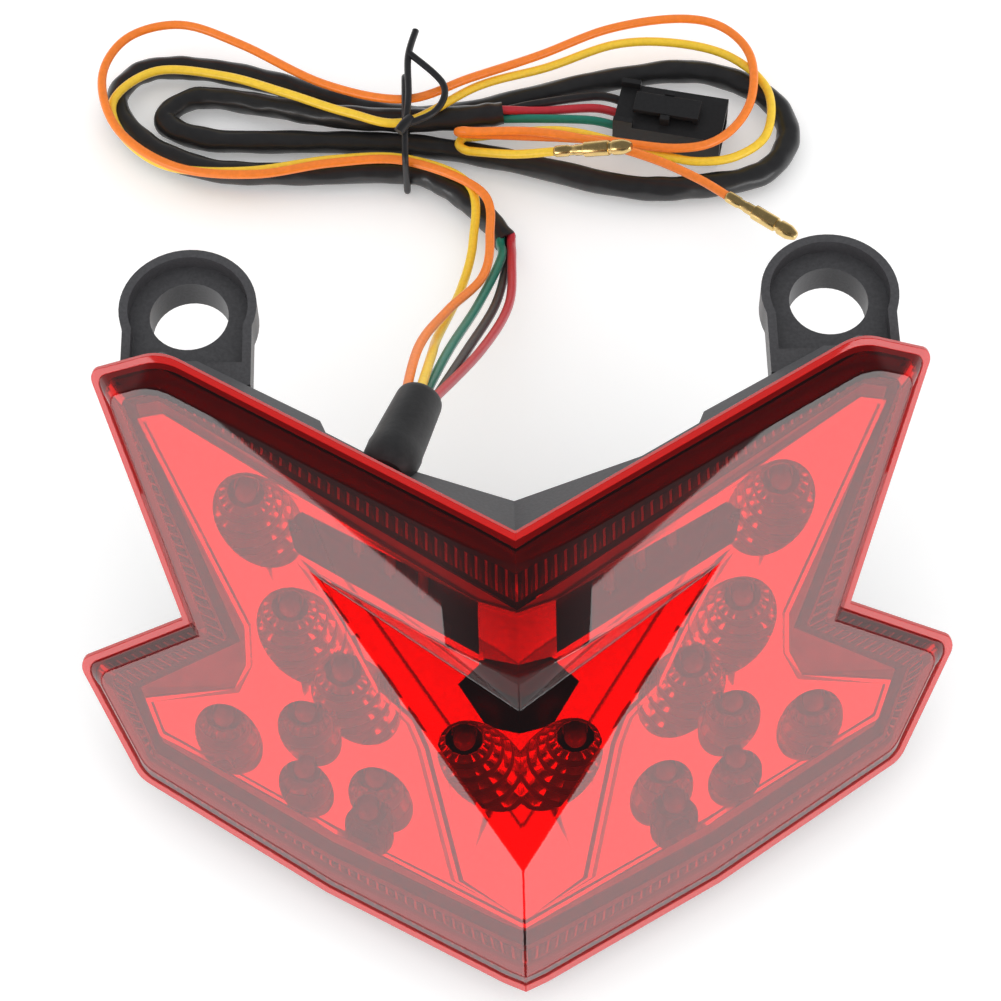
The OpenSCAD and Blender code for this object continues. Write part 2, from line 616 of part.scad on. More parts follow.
// Brass bullet: wire crimp, barrel, groove and tapered nose, along +x from its start.
module bullet() rotate([0, 90, 0]) {
    cylinder(d = wire_d + 0.7, h = 6);
    translate([0, 0, 6 - eps]) cylinder(d = bullet_d - 1, h = 2.5);
    translate([0, 0, 8]) cylinder(d = bullet_d, h = 7);
    translate([0, 0, 15 - eps]) cylinder(d = bullet_d - 0.8, h = 1);
    translate([0, 0, 16 - 2 * eps]) cylinder(d = bullet_d, h = 3);
    translate([0, 0, 19 - 3 * eps]) cylinder(d1 = bullet_d, d2 = bullet_d - 1.8, h = 2);
}
// Puts a bullet on the end of a lead, in line with the lead's last stretch.
module bullet_on(path) {
    last = path[len(path) - 1];
    dir = unit(last - path[len(path) - 2]);
    translate(last + 0.1 * dir) rotate([0, -asin(dir.z), atan2(dir.y, dir.x)]) bullet();
}
module lead_yellow() color("gold") tube(smooth(yellow_lead_path, steps), wire_d);
module lead_orange() color("darkorange") tube(smooth(orange_lead_path, steps), wire_d);
module bullet_yellow() color("goldenrod") bullet_on(yellow_lead_path);
module bullet_orange() color("goldenrod") bullet_on(orange_lead_path);

// ---------------------------------------------------------------- drawing
ear_pair_centre = [0, ear_y, bore_base_z + ear_t / 2];
module placed() translate(-ear_pair_centre) children();
placed() lens();
placed() lens_seal();
placed() housing();
placed() reflector();
placed() board_left();
placed() board_right();
placed() board_centre();
placed() brake_leds_left();
placed() brake_leds_right();
placed() turn_leds_left();
placed() turn_leds_right();
placed() centre_leds();
placed() resistors();
placed() diodes();
placed() board_screws();
placed() inner_wires();
placed() wire_boot();
placed() wire_yellow();
placed() wire_orange();
placed() wire_black();
placed() wire_red();
placed() wire_green();
placed() harness_sleeve();
placed() twist_tie();
placed() plug_housing();
placed() plug_latch();
placed() plug_terminals();
placed() lead_yellow();
placed() bullet_yellow();
placed() lead_orange();
placed() bullet_orange();
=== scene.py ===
"""Finished look of a motorcycle tail light: clear red lens, chromed reflector, black housing and harness."""
import json
import math

import bmesh
import bpy
from mathutils import Matrix, Quaternion, Vector
from mathutils.geometry import delaunay_2d_cdt


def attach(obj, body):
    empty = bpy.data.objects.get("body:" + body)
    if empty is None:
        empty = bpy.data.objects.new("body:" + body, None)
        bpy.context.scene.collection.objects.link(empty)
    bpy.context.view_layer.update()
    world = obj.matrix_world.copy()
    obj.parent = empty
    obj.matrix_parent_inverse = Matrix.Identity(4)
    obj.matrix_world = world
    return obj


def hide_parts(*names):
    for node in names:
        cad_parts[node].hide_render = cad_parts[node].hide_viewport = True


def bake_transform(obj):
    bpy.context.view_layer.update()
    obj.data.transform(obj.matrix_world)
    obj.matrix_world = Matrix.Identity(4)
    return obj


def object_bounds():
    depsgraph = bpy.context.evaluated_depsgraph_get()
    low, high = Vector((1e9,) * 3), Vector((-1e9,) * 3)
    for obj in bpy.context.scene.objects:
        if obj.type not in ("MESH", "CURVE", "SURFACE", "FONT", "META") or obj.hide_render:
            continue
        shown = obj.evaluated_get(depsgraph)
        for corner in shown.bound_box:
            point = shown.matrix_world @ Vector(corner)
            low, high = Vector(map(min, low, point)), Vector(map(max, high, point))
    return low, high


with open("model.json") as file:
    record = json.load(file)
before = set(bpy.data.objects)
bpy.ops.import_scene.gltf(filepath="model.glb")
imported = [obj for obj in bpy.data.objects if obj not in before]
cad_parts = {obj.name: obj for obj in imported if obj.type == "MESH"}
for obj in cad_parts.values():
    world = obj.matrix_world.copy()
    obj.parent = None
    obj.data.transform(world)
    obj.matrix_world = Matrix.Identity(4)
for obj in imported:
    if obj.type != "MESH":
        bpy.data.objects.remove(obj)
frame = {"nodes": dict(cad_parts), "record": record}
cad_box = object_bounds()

MM = 0.001
nodes = frame["nodes"]

# Shapes are worked out in the bench frame, whose origin is on the floor below the lip. The part's
# own origin is midway between the two ear bores, so every piece is moved by the same step.
EAR_PAIR = Vector((0, 91, 66)) * MM

# TOUCH is in millimetres, WELD in metres. TINY keeps divisions and whole numbers safe.
TOUCH = 1e-3
TINY = 1e-6
WELD = 0.00001

# Edges that bend by more than these degrees are drawn sharp.
SMOOTH_ANGLE = 30
FACET_ANGLE = 14
BAND_ANGLE = 40
TUBE_ANGLE = 60
TURNED_ANGLE = 35

# ---------------------------------------------------------------- lamp frame
# u runs right, a up across the LED axes and h out along them, all in millimetres.
# A level is a depth below the lens face, measured along -h.
AIM = math.radians(30)
RAKE = math.tan(math.radians(16))
SWEEP = math.tan(math.radians(22)) / math.cos(math.radians(16))
LIP_Z = 62.0


def world_point(u, a, h):
    y = a * math.sin(AIM) - h * math.cos(AIM)
    z = a * math.cos(AIM) + h * math.sin(AIM) + LIP_Z
    return Vector((u, y, z)) * MM


def face_h(u, a, level=0.0, keel=0.0):
    side = abs(u)
    if side < keel:
        side = (u * u + keel * keel) / (2 * keel)
    return -a * RAKE - side * SWEEP - level


# ---------------------------------------------------------------- plane geometry
def lerp(p, q, t):
    return tuple(p[k] + (q[k] - p[k]) * t for k in range(len(p)))


def unit2(p, q):
    du, da = q[0] - p[0], q[1] - p[1]
    length = math.hypot(du, da)
    return du / length, da / length


def meet(p, s, q, t):
    cross = s[0] * t[1] - s[1] * t[0]
    along = ((q[0] - p[0]) * t[1] - (q[1] - p[1]) * t[0]) / cross
    return p[0] + s[0] * along, p[1] + s[1] * along


def inset_half(points, distances):
    """Moves each edge of a half outline inwards; the half starts and ends at u = 0."""
    lines = []
    for p, q, d in zip(points, points[1:], distances):
        s = unit2(p, q)
        lines.append(((p[0] + s[1] * d, p[1] - s[0] * d), s))
    middle = ((0.0, 0.0), (0.0, 1.0))
    ends = [middle] + lines + [middle]
    return [meet(*one, *two) for one, two in zip(ends, ends[1:])]


def inset_all(points, distance):
    return inset_half(points, [distance] * (len(points) - 1))


def rounded(half):
    """The half outline with its convex corners turned into arcs."""
    result = []
    for i, (p, r) in enumerate(zip(half, CORNER_R)):
        if not r:
            result.append(p)
            continue
        s, t = unit2(half[i - 1], p), unit2(p, half[i + 1])
        turn = math.acos(s[0] * t[0] + s[1] * t[1])
        back = r * math.tan(turn / 2)
        centre = (p[0] - s[0] * back + s[1] * r, p[1] - s[1] * back - s[0] * r)
        for k in range(CORNER_STEPS + 1):
            c, d = math.cos(turn * k / CORNER_STEPS) * r, math.sin(turn * k / CORNER_STEPS) * r
            result.append((centre[0] - s[1] * c + s[0] * d, centre[1] + s[0] * c + s[1] * d))
    return result


def full(half):
    """The whole outline, clockwise from the top, from its right half."""
    return list(half) + [(-u, a) for u, a in reversed(half[1:-1])]


def inside(p, outline):
    hit = False
    for (u1, a1), (u2, a2) in zip(outline, outline[1:] + outline[:1]):
        if (a1 > p[1]) != (a2 > p[1]) and p[0] < (u2 - u1) * (p[1] - a1) / (a2 - a1) + u1:
            hit = not hit
    return hit


def nearest_on(p, q, r):
    """Share along the edge from q to r of its point nearest to p, and the gap between them."""
    du, da = r[0] - q[0], r[1] - q[1]
    t = ((p[0] - q[0]) * du + (p[1] - q[1]) * da) / (du * du + da * da)
    t = min(max(t, 0.0), 1.0)
    return t, math.hypot(p[0] - q[0] - du * t, p[1] - q[1] - da * t)


def distance_to(p, line):
    return min(nearest_on(p, q, r)[1] for q, r in zip(line, line[1:]))


def shifted(line, d):
    """A copy of an open line, moved sideways by d."""
    result = []
    for i, p in enumerate(line):
        s = unit2(line[max(i - 1, 0)], line[min(i + 1, len(line) - 1)])
        result.append((p[0] + s[1] * d, p[1] - s[0] * d))
    return result


def crease_mesh(outline, lines, points, keep):
    """Triangles over an outline with edges along the given lines; keep() picks them by their middle."""
    co, edges = [], []

    def chain(line, closed):
        first = len(co)
        co.extend(Vector(p) for p in line)
        ids = list(range(first, len(co)))
        edges.extend(zip(ids, ids[1:]))
        if closed:
            edges.append((ids[-1], ids[0]))

    chain(outline, True)
    for line in lines:
        chain(line, False)
    co.extend(Vector(p) for p in points)
    verts, _, faces, _, _, _ = delaunay_2d_cdt(co, edges, [], 0, TOUCH)
    kept = []
    for face in faces:
        middle = (sum(verts[i][0] for i in face) / 3, sum(verts[i][1] for i in face) / 3)
        if keep(middle):
            kept.append(tuple(face))
    used = sorted({i for face in kept for i in face})
    index = {old: new for new, old in enumerate(used)}
    flat = [(verts[i][0], verts[i][1]) for i in used]
    return flat, [tuple(index[i] for i in face) for face in kept]


# ---------------------------------------------------------------- materials
NOISE_DETAIL = 4
BUMP_HEIGHT = 0.0002
MOTTLE_FROM, MOTTLE_TO = 0.35, 0.65
SMOOTHER, ROUGHER = 0.85, 1.15
COAT_ROUGHNESS = 0.1


def new_material(name):
    material = bpy.data.materials.new(name)
    material.use_nodes = True
    tree = material.node_tree
    return material, tree, tree.nodes["Principled BSDF"]


def add_bump(tree, bsdf, scale, strength):
    coords = tree.nodes.new("ShaderNodeTexCoord")
    noise = tree.nodes.new("ShaderNodeTexNoise")
    noise.inputs["Scale"].default_value = scale
    noise.inputs["Detail"].default_value = NOISE_DETAIL
    bump = tree.nodes.new("ShaderNodeBump")
    bump.inputs["Strength"].default_value = strength
    bump.inputs["Distance"].default_value = BUMP_HEIGHT
    tree.links.new(coords.outputs["Object"], noise.inputs["Vector"])
    tree.links.new(noise.outputs["Fac"], bump.inputs["Height"])
    tree.links.new(bump.outputs["Normal"], bsdf.inputs["Normal"])
    return noise


def add_mottle(tree, bsdf, noise, dark, light, rough_low, rough_high):
    """Varies colour and roughness a little with the noise."""
    ramp = tree.nodes.new("ShaderNodeValToRGB")
    ramp.color_ramp.elements[0].position = MOTTLE_FROM
    ramp.color_ramp.elements[1].position = MOTTLE_TO
    ramp.color_ramp.elements[0].color = (*dark, 1)
    ramp.color_ramp.elements[1].color = (*light, 1)
    spread = tree.nodes.new("ShaderNodeMapRange")
    spread.inputs["To Min"].default_value = rough_low
    spread.inputs["To Max"].default_value = rough_high
    tree.links.new(noise.outputs["Fac"], ramp.inputs["Fac"])
    tree.links.new(ramp.outputs["Color"], bsdf.inputs["Base Color"])
    tree.links.new(noise.outputs["Fac"], spread.inputs["Value"])
    tree.links.new(spread.outputs["Result"], bsdf.inputs["Roughness"])


def shaded(color, share):
    return tuple(c * share for c in color)


def plastic(name, color, roughness, grain=900, strength=0.15, mottle=0.12, metallic=0.0, coat=0.0):
    material, tree, bsdf = new_material(name)
    noise = add_bump(tree, bsdf, grain, strength)
    add_mottle(
        tree, bsdf, noise, shaded(color, 1 - mottle), shaded(color, 1 + mottle),
        roughness * SMOOTHER, roughness * ROUGHER,
    )
    bsdf.inputs["Metallic"].default_value = metallic
    bsdf.inputs["Coat Weight"].default_value = coat
    bsdf.inputs["Coat Roughness"].default_value = COAT_ROUGHNESS
    return material


def lens_material(name, transmission):
    """Clear red plastic that also lets lamps light what is behind it."""
    material, tree, bsdf = new_material(name)
    bsdf.inputs["Base Color"].default_value = (0.64, 0.008, 0.006, 1)
    bsdf.inputs["Roughness"].default_value = 0.015
    bsdf.inputs["IOR"].default_value = 1.49
    bsdf.inputs["Transmission Weight"].default_value = transmission
    clear = tree.nodes.new("ShaderNodeBsdfTransparent")
    clear.inputs["Color"].default_value = (0.93, 0.13, 0.10, 1)
    path = tree.nodes.new("ShaderNodeLightPath")
    mix = tree.nodes.new("ShaderNodeMixShader")
    output = tree.nodes["Material Output"]
    tree.links.new(path.outputs["Is Shadow Ray"], mix.inputs["Fac"])
    tree.links.new(bsdf.outputs["BSDF"], mix.inputs[1])
    tree.links.new(clear.outputs["BSDF"], mix.inputs[2])
    tree.links.new(mix.outputs["Shader"], output.inputs["Surface"])
    return material


def resin_material():
    material, tree, bsdf = new_material("led_resin")
    noise = add_bump(tree, bsdf, 400, 0.05)
    add_mottle(tree, bsdf, noise, (0.42, 0.09, 0.08), (0.60, 0.16, 0.14), 0.05, 0.12)
    bsdf.inputs["Coat Weight"].default_value = 1.0
    bsdf.inputs["Coat Roughness"].default_value = 0.02
    return material


MATERIALS = {
    "lens_red": lens_material("lens_red", 1.0),
    "sealant": plastic("sealant", (0.035, 0.035, 0.038), 0.6),
    "black_plastic": plastic("black_plastic", (0.066, 0.066, 0.071), 0.42, grain=1400, strength=0.25),
    "chrome": plastic(
        "chrome", (0.74, 0.74, 0.75), 0.13, grain=150, strength=0.02, mottle=0.02, metallic=0.82,
    ),
    "board": plastic("board", (0.012, 0.045, 0.020), 0.45, grain=500),
    "led_resin": resin_material(),
    "resistor_body": plastic("resistor_body", (0.48, 0.33, 0.18), 0.4),
    "steel": plastic("steel", (0.55, 0.55, 0.56), 0.25, grain=700, strength=0.1, metallic=1.0),
    "black_rubber": plastic("black_rubber", (0.020, 0.020, 0.021), 0.5, grain=700, strength=0.3),
    "wire_yellow_pvc": plastic("wire_yellow_pvc", (0.92, 0.60, 0.035), 0.33, mottle=0.05),
    "wire_orange_pvc": plastic("wire_orange_pvc", (0.92, 0.22, 0.020), 0.33, mottle=0.05),
    "wire_black_pvc": plastic("wire_black_pvc", (0.020, 0.020, 0.022), 0.35),
    "wire_red_pvc": plastic("wire_red_pvc", (0.50, 0.020, 0.035), 0.33, mottle=0.05),
    "wire_green_pvc": plastic("wire_green_pvc", (0.010, 0.20, 0.14), 0.33, mottle=0.05),
    "sleeve_pvc": plastic("sleeve_pvc", (0.018, 0.018, 0.019), 0.36, grain=350, strength=0.5, coat=0.2),
    "tie_plastic": plastic("tie_plastic", (0.016, 0.016, 0.018), 0.4),
    "plug_plastic": plastic("plug_plastic", (0.014, 0.014, 0.015), 0.4, grain=1200),
    "brass": plastic("brass", (0.80, 0.58, 0.24), 0.24, grain=600, strength=0.08, mottle=0.06, metallic=1.0),
}
FLANGE_MATERIAL = lens_material("lens_flange", 0.3)
# Light, part-metallic strips on the ring's dark plastic: painted highlights along each rib's edges and down
# the groove's side.
RIB_HIGHLIGHT_MATERIAL = plastic("border_ribs", (0.82, 0.82, 0.83), 0.30, grain=200, strength=0.03, metallic=0.35)
SLOPE_MATERIAL = plastic("border_slope", (0.90, 0.90, 0.90), 0.35, grain=200, strength=0.03)
# Plain white in place of chrome on the steep ring steps of the cups' lower sides: a painted highlight.
RISER_HIGHLIGHT_MATERIAL = plastic("cup_risers_painted_highlight", (0.92, 0.92, 0.92), 0.5, grain=200, strength=0.03)
CELL_MATERIAL = plastic("border_cells", (0.05, 0.05, 0.055), 0.3, grain=200, strength=0.03)
# Darker than the housing's black plastic: the black housing seen through the gap, plus painted shade in the
# gap.
GROOVE_SHADE_MATERIAL = plastic("border_groove", (0.014, 0.015, 0.017), 0.5)


# ---------------------------------------------------------------- pieces
def smooth_by_angle(mesh, degrees):
    mesh.shade_smooth()
    mesh.set_sharp_from_angle(angle=math.radians(degrees))


def piece(name, verts, faces, slot, body="lamp", node=None, degrees=SMOOTH_ANGLE, material=None):
    """A visible piece. With body None it is left unattached; node is the CAD piece that it replaces."""
    mesh = bpy.data.meshes.new(name)
    mesh.from_pydata([tuple(Vector(v) - EAR_PAIR) for v in verts], [], faces)
    mesh.validate()
    smooth_by_angle(mesh, degrees)
    mesh.materials.append(MATERIALS[slot] if material is None else material)
    obj = bpy.data.objects.new(name, mesh)
    bpy.context.scene.collection.objects.link(obj)
    if body:
        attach(obj, body)
    if node:
        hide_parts(node)
    return obj


BEVEL_ANGLE = 25
SAME_PLANE_ANGLE = 0.5


def bevel(obj, width, segments=2, weighted=False):
    modifier = obj.modifiers.new("bevel", "BEVEL")
    modifier.width = width * MM
    modifier.segments = segments
    modifier.limit_method = "WEIGHT" if weighted else "ANGLE"
    modifier.angle_limit = math.radians(BEVEL_ANGLE)
    modifier.use_clamp_overlap = True
    normals = obj.modifiers.new("normals", "WEIGHTED_NORMAL")
    normals.keep_sharp = True
    normals.weight = 100


def softened(node, slot, body, width):
    """The CAD piece again with welded faces and rounded edges."""
    source = nodes[node].data
    bm = bmesh.new()
    bm.from_mesh(source)
    bmesh.ops.remove_doubles(bm, verts=bm.verts, dist=WELD)
    same_plane = math.radians(SAME_PLANE_ANGLE)
    bmesh.ops.dissolve_limit(bm, angle_limit=same_plane, verts=bm.verts, edges=bm.edges)
    bmesh.ops.recalc_face_normals(bm, faces=bm.faces)
    mesh = bpy.data.meshes.new(node + "_finish")
    bm.to_mesh(mesh)
    bm.free()
    smooth_by_angle(mesh, SMOOTH_ANGLE)
    mesh.materials.clear()
    mesh.materials.append(MATERIALS[slot])
    obj = bpy.data.objects.new(node + "_finish", mesh)
    bpy.context.scene.collection.objects.link(obj)
    bevel(obj, width)
    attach(obj, body)
    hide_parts(node)


# ---------------------------------------------------------------- lens
FLANGE = [
    (0, 30), (76.5, 55), (93.5, 48), (74.5, -3), (100, -17.5), (86.5, -41.5), (44, -58), (5, -69.1), (0, -70),
]
WALL_LEAN = [5.4, 4, 3.6, 2.2, 4.5, 6.1, 6.1, 6.1]
CORNER_R = [0, 12, 2.5, 0, 3, 6, 0, 0, 0]
CORNER_STEPS = 6
LENS_T = 2.2
LENS_WALL = 6.0
FLANGE_T = 1.4
LIP_END = (44.0, 15.5)
APEX = (0.0, -40.0)
STEP = (0.0, -7.9)
STEP_DEPTH = 5.0
KEEL = 16.0
RIDGE_STEPS = 8
# Where a vertex of the lens lies, from the middle of the outer face round to the inner one.
ON_FACE, FACE_EDGE, WALL_FOOT, FLANGE_EDGE, INNER_FOOT, INNER_FACE = range(6)
FLANGE_STRIPS = 3
LENS_BEVEL = 1.0
OUTER_SHARE, INNER_SHARE = 0.9, 0.3
FOLD_ANGLE = 8
LENS_PLANE_ANGLE = 0.3
LENS_TOP = inset_half(FLANGE, WALL_LEAN)
LENS_BASE = inset_all(FLANGE, FLANGE_T)


def lip_a(u):
    return LIP_END[1] * abs(u) / LIP_END[0]


def lens_height(u, a):
    """Height of the outer lens face, with the rounded ridge above the lip and the recess below it."""
    side = abs(u)
    if a >= lip_a(u) - TOUCH:
        reach = KEEL if side < KEEL else 0.0
        return face_h(u, a, 0.0, reach)
    edge_a = APEX[1] + (LIP_END[1] - APEX[1]) * side / LIP_END[0]
    if side > LIP_END[0] or a < edge_a - TOUCH:
        return face_h(u, a)
    low_a = STEP[1] + (LIP_END[1] - STEP[1]) * side / LIP_END[0]
    step_h = face_h(0, STEP[1], STEP_DEPTH)
    side_h = face_h(*LIP_END)
    along_a = (face_h(0, APEX[1]) - step_h) / (APEX[1] - STEP[1])
    along_u = (side_h - step_h - along_a * (LIP_END[1] - STEP[1])) / LIP_END[0]

    def facet(at_a):
        return step_h + along_a * (at_a - STEP[1]) + along_u * side

    if a <= low_a + TOUCH:
        return facet(a)
    t = (a - low_a) / max(lip_a(u) - low_a, TINY)
    return facet(low_a) * (1 - t) + face_h(u, lip_a(u), 0.0, KEEL if side < KEEL else 0.0) * t


def outline_place(p, outline):
    """Edge number and share along it of the outline point nearest to p."""
    best = None
    for i, (q, r) in enumerate(zip(outline, outline[1:] + outline[:1])):
        t, gap = nearest_on(p, q, r)
        if best is None or gap < best[0]:
            best = (gap, i, t)
    return best[1], best[2]


def boundary_loop(faces):
    """The outer edge of a patch as a ring of vertex numbers."""
    follow = {}
    directed = {(f[k], f[(k + 1) % 3]) for f in faces for k in range(3)}
    for i, j in directed:
        if (j, i) not in directed:
            follow[i] = j
    start = min(follow)
    ring, now = [start], follow[start]
    while now != start:
        ring.append(now)
        now = follow[now]
    return ring


def lens_creases():
    """Lines along which the lens face folds: across the rounded ridge, the lip and the recess."""
    ridge = [KEEL * k / RIDGE_STEPS for k in range(RIDGE_STEPS + 1)]
    top_slope = (LENS_TOP[1][1] - LENS_TOP[0][1]) / LENS_TOP[1][0]
    lines = []
    for u in ridge:
        for side in ([-1, 1] if u else [1]):
            lines.append([(side * u, lip_a(u)), (side * u, LENS_TOP[0][1] + top_slope * u)])
    left_end = (-LIP_END[0], LIP_END[1])
    lip_half = [left_end] + [(-u, lip_a(u)) for u in reversed(ridge[1:])]
    lip = lip_half + [(0.0, 0.0)] + [(-u, a) for u, a in reversed(lip_half)]
    return lines + [
        lip, [left_end, APEX, LIP_END], [left_end, STEP, LIP_END], [STEP, APEX], [APEX, LENS_TOP[-1]],
    ]


def build_lens():
    outline = full(rounded(LENS_TOP))
    flat, faces = crease_mesh(outline, lens_creases(), [], lambda m: inside(m, outline))
    ring = boundary_loop(faces)
    on_ring = {i: k for k, i in enumerate(ring)}
    n, count = len(flat), len(ring)
    places = [outline_place(flat[i], outline) for i in ring]

    def ring_on(half, level, keel=0.0):
        """The edge points of the face, carried onto another outline and level."""
        points = full(rounded(half))
        result = []
        for i, t in places:
            u, a = lerp(points[i], points[(i + 1) % len(points)], t)
            result.append(world_point(u, a, face_h(u, a, level, keel if abs(u) < keel and a > 0 else 0.0)))
        return result

    verts = [world_point(u, a, lens_height(u, a)) for u, a in flat]
    inner_ring = ring_on(inset_all(LENS_TOP, LENS_T), LENS_T, KEEL)
    verts += [
        inner_ring[on_ring[i]] if i in on_ring else world_point(*flat[i], lens_height(*flat[i]) - LENS_T)
        for i in range(n)
    ]
    loops = [ring]
    rank = [FACE_EDGE if i in on_ring else ON_FACE for i in range(n)] + [INNER_FACE] * n
    for half, level, number in (
        (LENS_BASE, LENS_WALL - FLANGE_T, WALL_FOOT),
        (FLANGE, LENS_WALL - FLANGE_T, FLANGE_EDGE),
        (FLANGE, LENS_WALL, FLANGE_EDGE),
        (inset_all(LENS_BASE, LENS_T), LENS_WALL, INNER_FOOT),
    ):
        loops.append(list(range(len(verts), len(verts) + count)))
        verts += ring_on(half, level)
        rank += [number] * count
    loops.append([i + n for i in ring])
    solid = list(faces) + [tuple(i + n for i in reversed(f)) for f in faces]
    for one, two in zip(loops, loops[1:]):
        for k in range(count):
            j = (k + 1) % count
            solid.append((one[j], one[k], two[k], two[j]))
    obj = piece("lens_shell", verts, solid, "lens_red", node="lens")
    obj.data.materials.append(FLANGE_MATERIAL)
    first_flange_face = 2 * len(faces) + count
    for face in obj.data.polygons[first_flange_face:first_flange_face + FLANGE_STRIPS * count]:
        face.material_index = 1
    weigh_edges(obj, rank)
    bevel(obj, LENS_BEVEL, segments=3, weighted=True)


def weigh_edges(obj, rank):
    """A wide bevel on the outer face and walls, a narrow one on the flange and inside."""
    bm = bmesh.new()
    bm.from_mesh(obj.data)
    ranks = bm.verts.layers.int.new("rank")
    for v, value in zip(bm.verts, rank):
        v[ranks] = value
    same_plane = math.radians(LENS_PLANE_ANGLE)
    bmesh.ops.dissolve_limit(bm, angle_limit=same_plane, verts=bm.verts, edges=bm.edges)
    weight = bm.edges.layers.float.new("bevel_weight_edge")
    for e in bm.edges:
        if len(e.link_faces) != 2 or e.calc_face_angle(0.0) < math.radians(FOLD_ANGLE):
            continue
        ends = {v[ranks] for v in e.verts}
        outer = ends <= {ON_FACE, FACE_EDGE} or ends == {FACE_EDGE, WALL_FOOT}
        e[weight] = OUTER_SHARE if outer else INNER_SHARE
    bm.to_mesh(obj.data)
    bm.free()
    smooth_by_angle(obj.data, SMOOTH_ANGLE)


# ---------------------------------------------------------------- reflector
REFLECTOR = [
    (0, 12.5), (8.6, 13.3), (76.5, 41), (82.5, 39), (60, -2.5), (60, -11), (63, -17),
    (84, -23.5), (81, -31.5), (41, -45), (0, -56.5),
]
WINDOW = [(8.2, 13.2), (46, 25), (49.5, 20), (48, 16), (8.2, 1.5)]
RECESS_OPENING = [(0, 1), (7, 1), (13, -6), (7, -14), (0, -14)]
DIVIDER = [(44.5, 12), (36.5, -0.5), (30.5, -11), (23.5, -16), (21, -21.5), (14.3, -49.5)]
RIM_LEVEL = 7.0
RIM_LIP, RIM_FOOT = 0.9, 1.35
RIM_RISE, PLATE_DROP = 0.5, 0.2
SKIRT = 2.2
DIVIDER_HALF, DIVIDER_RISE, DIVIDER_LEAN = 0.4, 0.4, 9
DIVIDER_FOOT, DIVIDER_REACH = 1.5, 1.6
CUP_LEVEL = 14.0
# A point within SNAP of a line counts as on it; a cup's rings and sectors stop CUP_MARGIN before its rim.
SNAP = 0.05
CUP_MARGIN = 0.2
HOLE_R = 4.2
HOLE_SLACK = 0.3
# Each cup: place u and a, radius, and how much less deep its floor is than CUP_LEVEL.
CUPS = [
    (59, 23.5, 9.2, 0), (50, 0, 9.5, 0), (38.5, -12, 9, 0), (47.5, -23, 7, 0),
    (66.5, -28, 7.5, 0), (48.3, -36, 6.2, 0), (32, -34.5, 7, 0), (34, -42.5, 5.5, 0), (12, -20, 8, 3),
]
RING_PITCH = 2.2
SECTORS = 20
FINE = 4
PILLOW = 0.28
TREAD = 0.75
TREAD_RISE = 0.3
# A ring step gets the painted highlight where it lies less than this share of the radius above its cup's
# axis.
LIT_SIDE = 0.3


def cup_values(cup):
    u, a, r, drop = cup
    depth = CUP_LEVEL - drop - RIM_LEVEL
    return u, a, (r - HOLE_R) / depth, face_h(u, a, CUP_LEVEL - drop)


def cup_height(cup, p):
    """Height of a cup wall, with a small pillow in each ring and sector."""
    u, a, lean, floor = cup_values(cup)
    du, da = p[0] - u, p[1] - a
    out = math.hypot(du, da) - HOLE_R
    if out <= 0:
        return floor
    if out + HOLE_R > cup_reach(cup, math.atan2(da, du)) - SNAP:
        return floor + out / lean + SNAP
    ring = (out / RING_PITCH + TINY) % 1.0
    if ring < TREAD:
        rise = ring / TREAD * TREAD_RISE
    else:
        rise = 1 - (1 - ring) / (1 - TREAD) * (1 - TREAD_RISE)
    turn = (math.atan2(da, du) / (2 * math.pi) * SECTORS) % 1.0
    # The factor brings the pillow's top to 1.
    pillow = 16 * ring * (1 - ring) * turn * (1 - turn)
    return floor + (out + (rise - ring) * RING_PITCH) / lean + PILLOW * pillow


def in_riser_highlight(p):
    """Whether a point is on the steep part of a ring, on the lower side of the cup that owns it: the faces
    that get the painted highlight.
    """
    for cup in CUPS:
        du, da = p[0] - cup[0], p[1] - cup[1]
        radius = math.hypot(du, da)
        if radius < HOLE_R or radius > cup_reach(cup, math.atan2(da, du)) - SNAP or not owns(cup, p):
            continue
        return da < LIT_SIDE * radius and ((radius - HOLE_R) / RING_PITCH) % 1.0 > TREAD
    return False


def cup_reach(cup, angle):
    """How far the cup spreads from its axis before it meets the plate."""
    u, a, lean, floor = cup_values(cup)
    fall = RAKE * math.sin(angle) + SWEEP * math.cos(angle)
    return (face_h(u, a, RIM_LEVEL) - floor + HOLE_R / lean) / (1 / lean + fall)


def reflector_height(p):
    """Height of the plate with its raised rim and divider, or of the deepest cup there."""
    edge = distance_to(p, REFLECTOR)
    level = RIM_LEVEL
    if edge > RIM_FOOT - SNAP:
        level += PLATE_DROP
    elif edge < RIM_LIP + SNAP:
        level -= RIM_RISE
    plate = face_h(*p, level)
    height = min([plate] + [cup_height(cup, p) for cup in CUPS])
    wall = distance_to(p, DIVIDER)
    if wall >= DIVIDER_REACH:
        return height
    return max(height, plate + DIVIDER_RISE - max(0.0, wall - DIVIDER_HALF) * DIVIDER_LEAN)


def owns(cup, p):
    own = cup_height(cup, p)
    return all(other is cup or cup_height(other, p) > own for other in CUPS)


